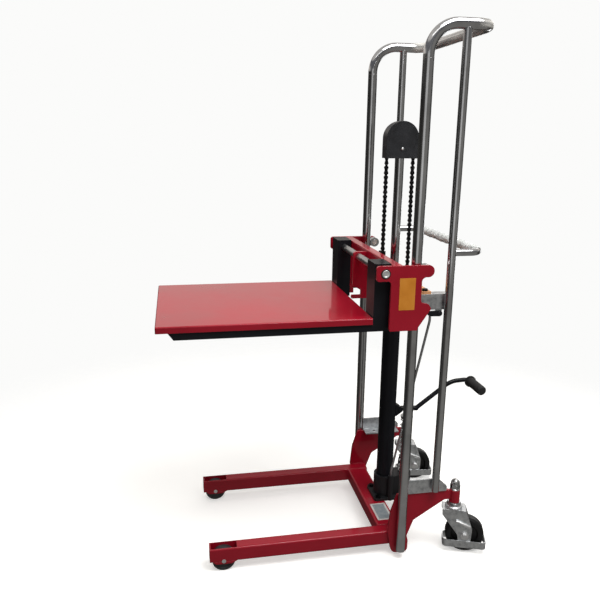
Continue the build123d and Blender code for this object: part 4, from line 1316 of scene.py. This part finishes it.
@dataclass
class WeldBeads:
    """Painted weld runs of the base and the carriage, each with its ripples.

    Attributes:
        ripple: length of one ripple.
        rings: segments of one ripple.
        least: least segments of a bead.
        sides: sides of a bead's section.
        tip: width of a bead's ends, as a share.
        fade: segments in which an end grows to the full width.
        mean: mean width, as a share.
        wave: how far the ripples change the width, as a share.
        uneven: how far the hand's unevenness changes it, as a share.
        drift: how fast the unevenness changes, per segment.
        apart: sets beads of different lengths apart in their unevenness, per metre.
        leg_bead: half width of the bead between leg and gusset.
        beam_bead: half width of the beads between beam and leg.
        bar_bead: half width of the bead between top bar and side plate.
        leg_sunk: how far the leg's bead lies inside the leg's outer face and below its top.
        leg_ends: how far its ends lie inside the gusset's front and the leg's back.
        beam_sunk: how far the beam's beads lie off the leg's inner face, below its top and behind the
            beam's front.
        beam_ends: how far the ends of its upper bead and its front bead lie inside the beam.
        bar_sunk: how far the bar's bead lies inside the bar's end and below its top.
        bar_ends: how far its ends lie inside the bar.
    """

    ripple: float = 4.5 * MM
    rings: int = 4
    least: int = 6
    sides: int = 10
    tip: float = 0.55
    fade: int = 4
    mean: float = 0.92
    wave: float = 0.1
    uneven: float = 0.07
    drift: float = 0.6
    apart: float = 50.0
    leg_bead: float = 3.2 * MM
    beam_bead: float = 3.0 * MM
    bar_bead: float = 2.6 * MM
    leg_sunk: tuple[float, float] = (2.0 * MM, 2.0 * MM)
    leg_ends: tuple[float, float] = (6.0 * MM, 2.0 * MM)
    beam_sunk: tuple[float, float, float] = (0.2 * MM, 1.2 * MM, 0.8 * MM)
    beam_ends: tuple[float, float] = (5.0 * MM, 6.0 * MM)
    bar_sunk: tuple[float, float] = (1.2 * MM, 1.0 * MM)
    bar_ends: float = 4.0 * MM

    def run(self, name: str, start: Vector, end: Vector, radius: float, body: Body) -> None:
        """Build one straight weld run.

        Args:
            name: name of the piece.
            start: middle of its first end.
            end: middle of its other end.
            radius: half width of the bead.
            body: body that it is part of.
        """
        shape = bmesh.new()
        along = (end - start).normalized()
        lay = Matrix.Translation(start) @ along.to_track_quat("Z", "Y").to_matrix().to_4x4()
        bmesh.ops.create_circle(
            shape, cap_ends=True, segments=self.sides, radius=radius * self.tip, matrix=lay
        )
        rim = shape.edges[:]
        length = (end - start).length
        count = max(self.least, int(length / (self.ripple / self.rings)))
        size = self.tip
        for k in range(1, count + 1):
            grown = bmesh.ops.extrude_edge_only(shape, edges=rim)["geom"]
            rim = edges_of(grown)
            verts = verts_of(grown)
            bmesh.ops.translate(shape, verts=verts, vec=along * (length / count))
            width = self.mean + self.wave * math.cos(2 * math.pi * k * length / count / self.ripple)
            width += self.uneven * noise.noise(Vector((k * self.drift, length * self.apart, radius)))
            width *= self.tip + (1 - self.tip) * min(1.0, k / self.fade, (count - k) / self.fade)
            centre = Matrix.Translation(-(start + along * (length * k / count)))
            bmesh.ops.scale(shape, vec=(width / size,) * 3, verts=verts, space=centre)
            size = width
        bmesh.ops.holes_fill(shape, edges=rim, sides=0)
        make_piece(shape, name, RED, body, crease=80)

    def build(self) -> None:
        """Build the weld runs of both sides, each sunk a little into the edge that it covers."""
        beam_low, beam_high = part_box("cross_beam")
        bar_low, bar_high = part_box("carriage_top_bar")
        aside, below, behind = self.beam_sunk
        top_end, front_end = self.beam_ends
        for side, sign in SIDES:
            leg_low, leg_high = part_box(f"leg_{side}")
            leg_inner, leg_outer = sorted((abs(leg_low.x), abs(leg_high.x)))
            gusset_low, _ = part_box(f"gusset_{side}")
            x, z = sign * (leg_outer - self.leg_sunk[0]), leg_high.z - self.leg_sunk[1]
            start = Vector((x, gusset_low.y + self.leg_ends[0], z))
            end = Vector((x, leg_high.y - self.leg_ends[1], z))
            self.run(f"weld_leg_top_{side}", start, end, self.leg_bead, Body.FRAME)
            x, z = sign * (leg_inner - aside), leg_high.z - below
            start, end = Vector((x, beam_low.y + top_end, z)), Vector((x, beam_high.y - top_end, z))
            self.run(f"weld_beam_top_{side}", start, end, self.beam_bead, Body.FRAME)
            y = beam_low.y + behind
            start, end = Vector((x, y, beam_low.z + front_end)), Vector((x, y, beam_high.z - front_end))
            self.run(f"weld_beam_front_{side}", start, end, self.beam_bead, Body.FRAME)
            x, z = sign * (bar_high.x - self.bar_sunk[0]), bar_high.z - self.bar_sunk[1]
            start, end = Vector((x, bar_low.y + self.bar_ends, z)), Vector((x, bar_high.y - self.bar_ends, z))
            self.run(f"weld_bar_top_{side}", start, end, self.bar_bead, Body.CARRIAGE)


@dataclass
class PostPlugs:
    """Black plugs in the open feet of the mast tubes.

    Attributes:
        wall: wall of a tube and a little play, in mm.
        depth: depth of a plug, in mm.
        rim: width of the flat rim round its hollow, in mm.
        slope: width of the slope from rim to hollow, in mm.
        inset: how far the rim lies inside the tube's end, in mm.
        hollow: how far the hollow lies inside it, in mm.
    """

    wall: float = 2.6
    depth: float = 6
    rim: float = 2
    slope: float = 1
    inset: float = 0.4
    hollow: float = 1.2

    def build(self) -> None:
        """Build a plug in each front and rear post."""
        for level in ("front", "rear"):
            for side, _ in SIDES:
                low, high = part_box(f"{level}_post_{side}")
                radius = (high.x - low.x) / 2 / MM - self.wall
                outline = [
                    (0, self.hollow),
                    (radius - self.rim - self.slope, self.hollow),
                    (radius - self.rim, self.inset),
                    (radius, self.inset),
                    (radius, self.depth),
                    (0, self.depth),
                ]
                shape = turned(outline, Vector(((low.x + high.x) / 2, (low.y + high.y) / 2, low.z)), UP)
                make_piece(shape, f"{level}_plug_{side}", NYLON, Body.FRAME)


@dataclass
class Washers:
    """Plain washers under the hex bolts of the cross plate and the pump foot.

    Attributes:
        places: middle of each washer's underside, in mm.
        hole: radius inside the visible ring, under the bolt head, in mm.
        rim: outer radius, in mm.
        thick: thickness, in mm.
        chamfer: chamfer of the rim, in mm.
    """

    places: tuple[tuple[float, float, float], ...]
    hole: float = 9.4
    rim: float = 10.5
    thick: float = 1.6
    chamfer: float = 0.4

    def build(self) -> None:
        """Build a thin washer that rings each bolt head."""
        ring = [
            (self.hole, SEAT_LIFT),
            (self.rim, SEAT_LIFT),
            (self.rim, self.thick - self.chamfer),
            (self.rim - self.chamfer, self.thick),
            (self.hole, self.thick),
            (self.hole, SEAT_LIFT),
        ]
        for index, place in enumerate(self.places):
            shape = turned(ring, Vector(place) * MM, UP, 24)
            make_piece(shape, f"bolt_washer_{index}", OXIDE, Body.FRAME)


@dataclass(frozen=True)
class SoftBox:
    """Soft rectangular light that the camera doesn't see.

    Attributes:
        name: name of the light.
        place: where it hangs.
        aim: point that it faces.
        size: its width and height.
        watts: its power.
        mirrored: whether gloss and chrome mirror it.
    """

    name: str
    place: tuple[float, float, float]
    aim: tuple[float, float, float]
    size: tuple[float, float]
    watts: float
    mirrored: bool = True

    def hang(self) -> None:
        """Hang the light."""
        data = bpy.data.lights.new(self.name, "AREA")
        data.shape = "RECTANGLE"
        data.size, data.size_y = self.size
        data.energy = self.watts
        light = bpy.data.objects.new(self.name, data)
        bpy.context.scene.collection.objects.link(light)
        light.location = self.place
        light.rotation_euler = (Vector(self.aim) - Vector(self.place)).to_track_quat("-Z", "Y").to_euler()
        light.visible_camera = False
        light.visible_glossy = self.mirrored


SOFT_BOXES = (
    SoftBox("soft_key", (1.35, 0.85, 3.6), (0, -0.1, 0.4), (2.0, 1.6), 90),
    SoftBox("soft_platform", (-0.1, -0.5, 2.5), (0, -0.3, 0.85), (1.5, 1.1), 11, mirrored=False),
    SoftBox("soft_side", (1.9, 2.2, 1.5), (0, 0.1, 0.8), (0.35, 2.2), 7, mirrored=False),
    SoftBox("soft_front", (1.6, -2.4, 1.7), (0, 0, 0.7), (0.7, 1.8), 2, mirrored=False),
    SoftBox("soft_back", (-2.7, 2.2, 2.3), (0.2, 0.4, 0.1), (1.2, 1.0), 4),
    SoftBox("soft_low", (-2.7, 3.1, 0.42), (0.2, 0.4, 0.15), (1.2, 0.8), 8),
    SoftBox("soft_behind", (3.6, -1.1, 1.3), (0.2, 0.2, 1.2), (2.8, 2.0), 7),
    SoftBox("soft_strip", (1.9, -0.5, 3.45), (0.26, 0.2, 1.7), (1.9, 0.3), 4),
)


@dataclass
class Studio:
    """Plain pale floor, a room to mirror, soft light and the photograph's camera.

    Attributes:
        camera_place: where the camera stands.
        yaw: its turn away from -X towards +Y, in degrees.
        pitch: its tilt down, in degrees.
        roll: its roll, in degrees.
        focal_px: its focal length, in pixels of the photograph.
        image_px: width of the photograph, in pixels.
        sensor: width of its sensor, in mm.
        floor_radius: radius of the floor.
        floor_fade: distances from the middle where the floor starts and ends to fade out.
    """

    camera_place: tuple[float, float, float] = (2.075635, -0.49596, 1.388937)
    yaw: float = 11.036
    pitch: float = 14.296
    roll: float = 0.732
    focal_px: float = 641.912
    image_px: float = 600.0
    sensor: float = 36.0
    floor_radius: float = 2.4
    floor_fade: tuple[float, float] = (0.8, 2.3)

    def camera(self) -> None:
        """Place the camera where the photograph was taken from."""
        data = bpy.data.cameras.new("photo_camera")
        data.sensor_width = self.sensor
        data.lens = self.sensor * self.focal_px / self.image_px
        camera = bpy.data.objects.new("photo_camera", data)
        bpy.context.scene.collection.objects.link(camera)
        yaw, pitch, roll = (math.radians(a) for a in (self.yaw, self.pitch, self.roll))
        ahead = Vector((-math.cos(yaw) * math.cos(pitch), math.sin(yaw) * math.cos(pitch), -math.sin(pitch)))
        right = Vector((math.sin(yaw), math.cos(yaw), 0))
        up = right.cross(ahead)
        level = right * math.cos(roll) + up * math.sin(roll)
        upright = up * math.cos(roll) - right * math.sin(roll)
        turn = Matrix((level, upright, -ahead)).transposed().to_4x4()
        camera.matrix_world = Matrix.Translation(self.camera_place) @ turn
        bpy.context.scene.camera = camera

    def room(self) -> None:
        """Give gloss and chrome a room with floor, walls and ceiling, and the camera a pale backdrop."""
        world = bpy.data.worlds.new("studio")
        bpy.context.scene.world = world
        world.use_nodes = True
        tree = world.node_tree
        tree.nodes.clear()
        way = add_node(tree, "ShaderNodeTexCoord").outputs["Generated"]
        across, _, height = add_node(tree, "ShaderNodeSeparateXYZ", {"Vector": way}).outputs
        # Directions that measure how far a ray looks to the left, up and down, each leaning a little.
        leans = ((0.94, 0.34, 0.0), (0.0, -0.16, 1.0), (0.15, 0.0, -1.0))
        dots = [
            add_node(tree, "ShaderNodeVectorMath", {0: way, 1: lean}, operation="DOT_PRODUCT")
            for lean in leans
        ]
        facing, climb, sink = (dot.outputs["Value"] for dot in dots)
        # Each part of the room: what a direction is measured by, and where the part begins and is whole.
        regions = {
            "front": (facing, -1.0, 1.0),
            "left": (across, -1.0, 1.0),
            "above_horizon": (height, 0.11, 0.17),
            "zenith": (climb, 0.355, 0.5),
            "ceiling": (height, 0.535, 0.565),
            "downward": (sink, 0.46, 0.58),
        }
        shares = {}
        for name, (value, low, high) in regions.items():
            span = {"Value": value, "From Min": low, "From Max": high}
            shares[name] = add_node(tree, "ShaderNodeMapRange", span).outputs[0]
        floor_tones = ((0.0, "#3A3937"), (0.35, "#2E2D2C"), (0.66, "#484644"), (0.86, "#807E7B"))
        wall_tones = ((0.0, "#F2EAE2"), (0.35, "#DFD9D3"), (0.6, "#878788"), (0.85, "#68686A"))
        below = add_node(tree, "ShaderNodeValToRGB", {"Fac": shares["front"]}, floor_tones).outputs[0]
        above = add_node(tree, "ShaderNodeValToRGB", {"Fac": shares["left"]}, wall_tones).outputs[0]
        for name, tone in (("zenith", "#6C6C70"), ("ceiling", "#CECAC6")):
            pair = {0: shares[name], 6: above, 7: linear(tone)}
            above = add_node(tree, "ShaderNodeMix", pair, data_type="RGBA").outputs[2]
        camera_ray = add_node(tree, "ShaderNodeLightPath").outputs["Is Camera Ray"]
        layers = (
            (shares["downward"], linear("#83817E")),
            (shares["above_horizon"], above),
            (camera_ray, linear("#FBFBFA")),
        )
        seen = below
        for share, tone in layers:
            seen = add_node(tree, "ShaderNodeMix", {0: share, 6: seen, 7: tone}, data_type="RGBA").outputs[2]
        glow = add_node(tree, "ShaderNodeBackground", {"Color": seen, "Strength": 1.0})
        add_node(tree, "ShaderNodeOutputWorld", {"Surface": glow.outputs[0]})

    def floor(self) -> None:
        """Lay a pale floor that fades into the backdrop and takes shadows, but doesn't light the part."""
        shape = bmesh.new()
        bmesh.ops.create_circle(shape, cap_ends=True, segments=96, radius=self.floor_radius)
        mesh = bpy.data.meshes.new("studio_floor")
        shape.to_mesh(mesh)
        shape.free()
        paint = bpy.data.materials.new("floor_pale_vinyl")
        paint.use_nodes = True
        tree = paint.node_tree
        tree.nodes.clear()
        place = add_node(tree, "ShaderNodeTexCoord").outputs["Object"]
        far = add_node(tree, "ShaderNodeVectorMath", {0: place}, operation="LENGTH")
        start, end = self.floor_fade
        fade = add_node(
            tree,
            "ShaderNodeMapRange",
            {"Value": far.outputs["Value"], "From Min": start, "From Max": end},
            interpolation_type="SMOOTHSTEP",
        )
        cloud = add_node(tree, "ShaderNodeTexNoise", {"Vector": place, "Scale": 2.5, "Detail": 3.0})
        tones = ((0.3, "#EEEEEC"), (0.7, "#F4F4F2"))
        pale = add_node(tree, "ShaderNodeValToRGB", {"Fac": cloud.outputs[0]}, tones)
        skin = add_node(
            tree,
            "ShaderNodeBsdfPrincipled",
            {
                "Base Color": pale.outputs[0],
                "Roughness": 0.7,
                "Emission Color": linear("#F2F2F0"),
                "Emission Strength": 0.45,
            },
        )
        clear = add_node(tree, "ShaderNodeBsdfTransparent")
        mixed = add_node(
            tree,
            "ShaderNodeMixShader",
            {0: fade.outputs[0], 1: skin.outputs[0], 2: clear.outputs[0]},
        )
        add_node(tree, "ShaderNodeOutputMaterial", {"Surface": mixed.outputs[0]})
        mesh.materials.append(paint)
        floor = bpy.data.objects.new("studio_floor", mesh)
        bpy.context.scene.collection.objects.link(floor)
        floor.visible_diffuse = False
        floor.visible_glossy = False

    def build(self) -> None:
        """Build camera, room, floor and lights."""
        self.camera()
        self.room()
        self.floor()
        for box in SOFT_BOXES:
            box.hang()
        bpy.context.scene.view_settings.view_transform = "Standard"


def dress_frame() -> None:
    """Give every CAD node its finish, which is mostly that of its material slot."""
    for part in frame["record"]["subparts"]:
        finish = NODE_FINISHES.get(part["node"], FINISHES[Slot(part["material_slot"])])
        mesh = frame["nodes"][part["node"]].data
        mesh.materials.clear()
        mesh.materials.append(finish.material())
        log.info("node %s: %s", part["node"], finish.name)


def build_wound_pieces() -> None:
    """Build what is wound or linked: return spring, chain and packing film."""
    low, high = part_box("return_spring")
    wire = 4.4 * MM
    ReturnSpring(Vector((0, (low.y + high.y) / 2, 0)), low.z + wire / 2, high.z - wire / 2, wire).build()
    sheave_z = 1387 * MM
    front = LeafChain("leaf_chain_front", y=194.29 * MM, top=sheave_z, links=24)
    front.build("chain_front_run", Body.RAM, Body.CARRIAGE, 36 * MM)
    rear = LeafChain("leaf_chain_rear", y=285.71 * MM, top=sheave_z, links=29)
    rear.build("chain_rear_run", Body.RAM, Body.FRAME, 58 * MM)
    loop = FilmWrap(
        y=406 * MM,
        z=1702 * MM,
        half_length=215 * MM,
        inner=16.3 * MM,
        outer=17.4 * MM,
        seed=3.1,
        corner=50 * MM,
        arm=3 * MM,
        streak=(11.0, 5.0),
    )
    handle = FilmWrap(
        y=423 * MM,
        z=1051 * MM,
        half_length=230 * MM,
        inner=11.4 * MM,
        outer=17.5 * MM,
        seed=8.4,
        corner=35 * MM,
        turn=math.radians(24),
        material=1,
    )
    PackingFilm((loop, handle)).build()


def build_small_pieces() -> None:
    """Build labels, screws, shaft ends, caster ledges, welds, plugs and washers."""
    Labels(
        plate_low=Vector((66, 166, 84)) * MM,
        plate_high=Vector((170, 222, 84)) * MM,
        label_low=Vector((295, 155, 883)) * MM,
        label_high=Vector((295, 205, 982)) * MM,
    ).build()
    CoverScrews(y=240 * MM, z=1354 * MM, face=22 * MM).build()
    low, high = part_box("fork_shaft")
    ShaftEnds(
        y=(low.y + high.y) / 2,
        z=(low.z + high.z) / 2,
        face=high.x,
        radius=(high.z - low.z) / 2 / MM,
        plate_face=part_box("carriage_plate_left")[1].x,
    ).build()
    CasterLedges().build()
    WeldBeads().build()
    PostPlugs().build()
    cross_plate = tuple((x, y, 927) for x in (-234.3, 234.3) for y in (220, 260))
    pump_foot = ((-42, 204, 94), (42, 204, 94))
    Washers(cross_plate + pump_foot).build()


def main() -> None:
    logging.basicConfig(level=logging.INFO, format="%(name)s: %(message)s")
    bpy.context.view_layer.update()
    dress_frame()
    build_wound_pieces()
    build_small_pieces()
    Studio().build()
    bpy.context.view_layer.update()


if __name__ == "__main__":
    main()
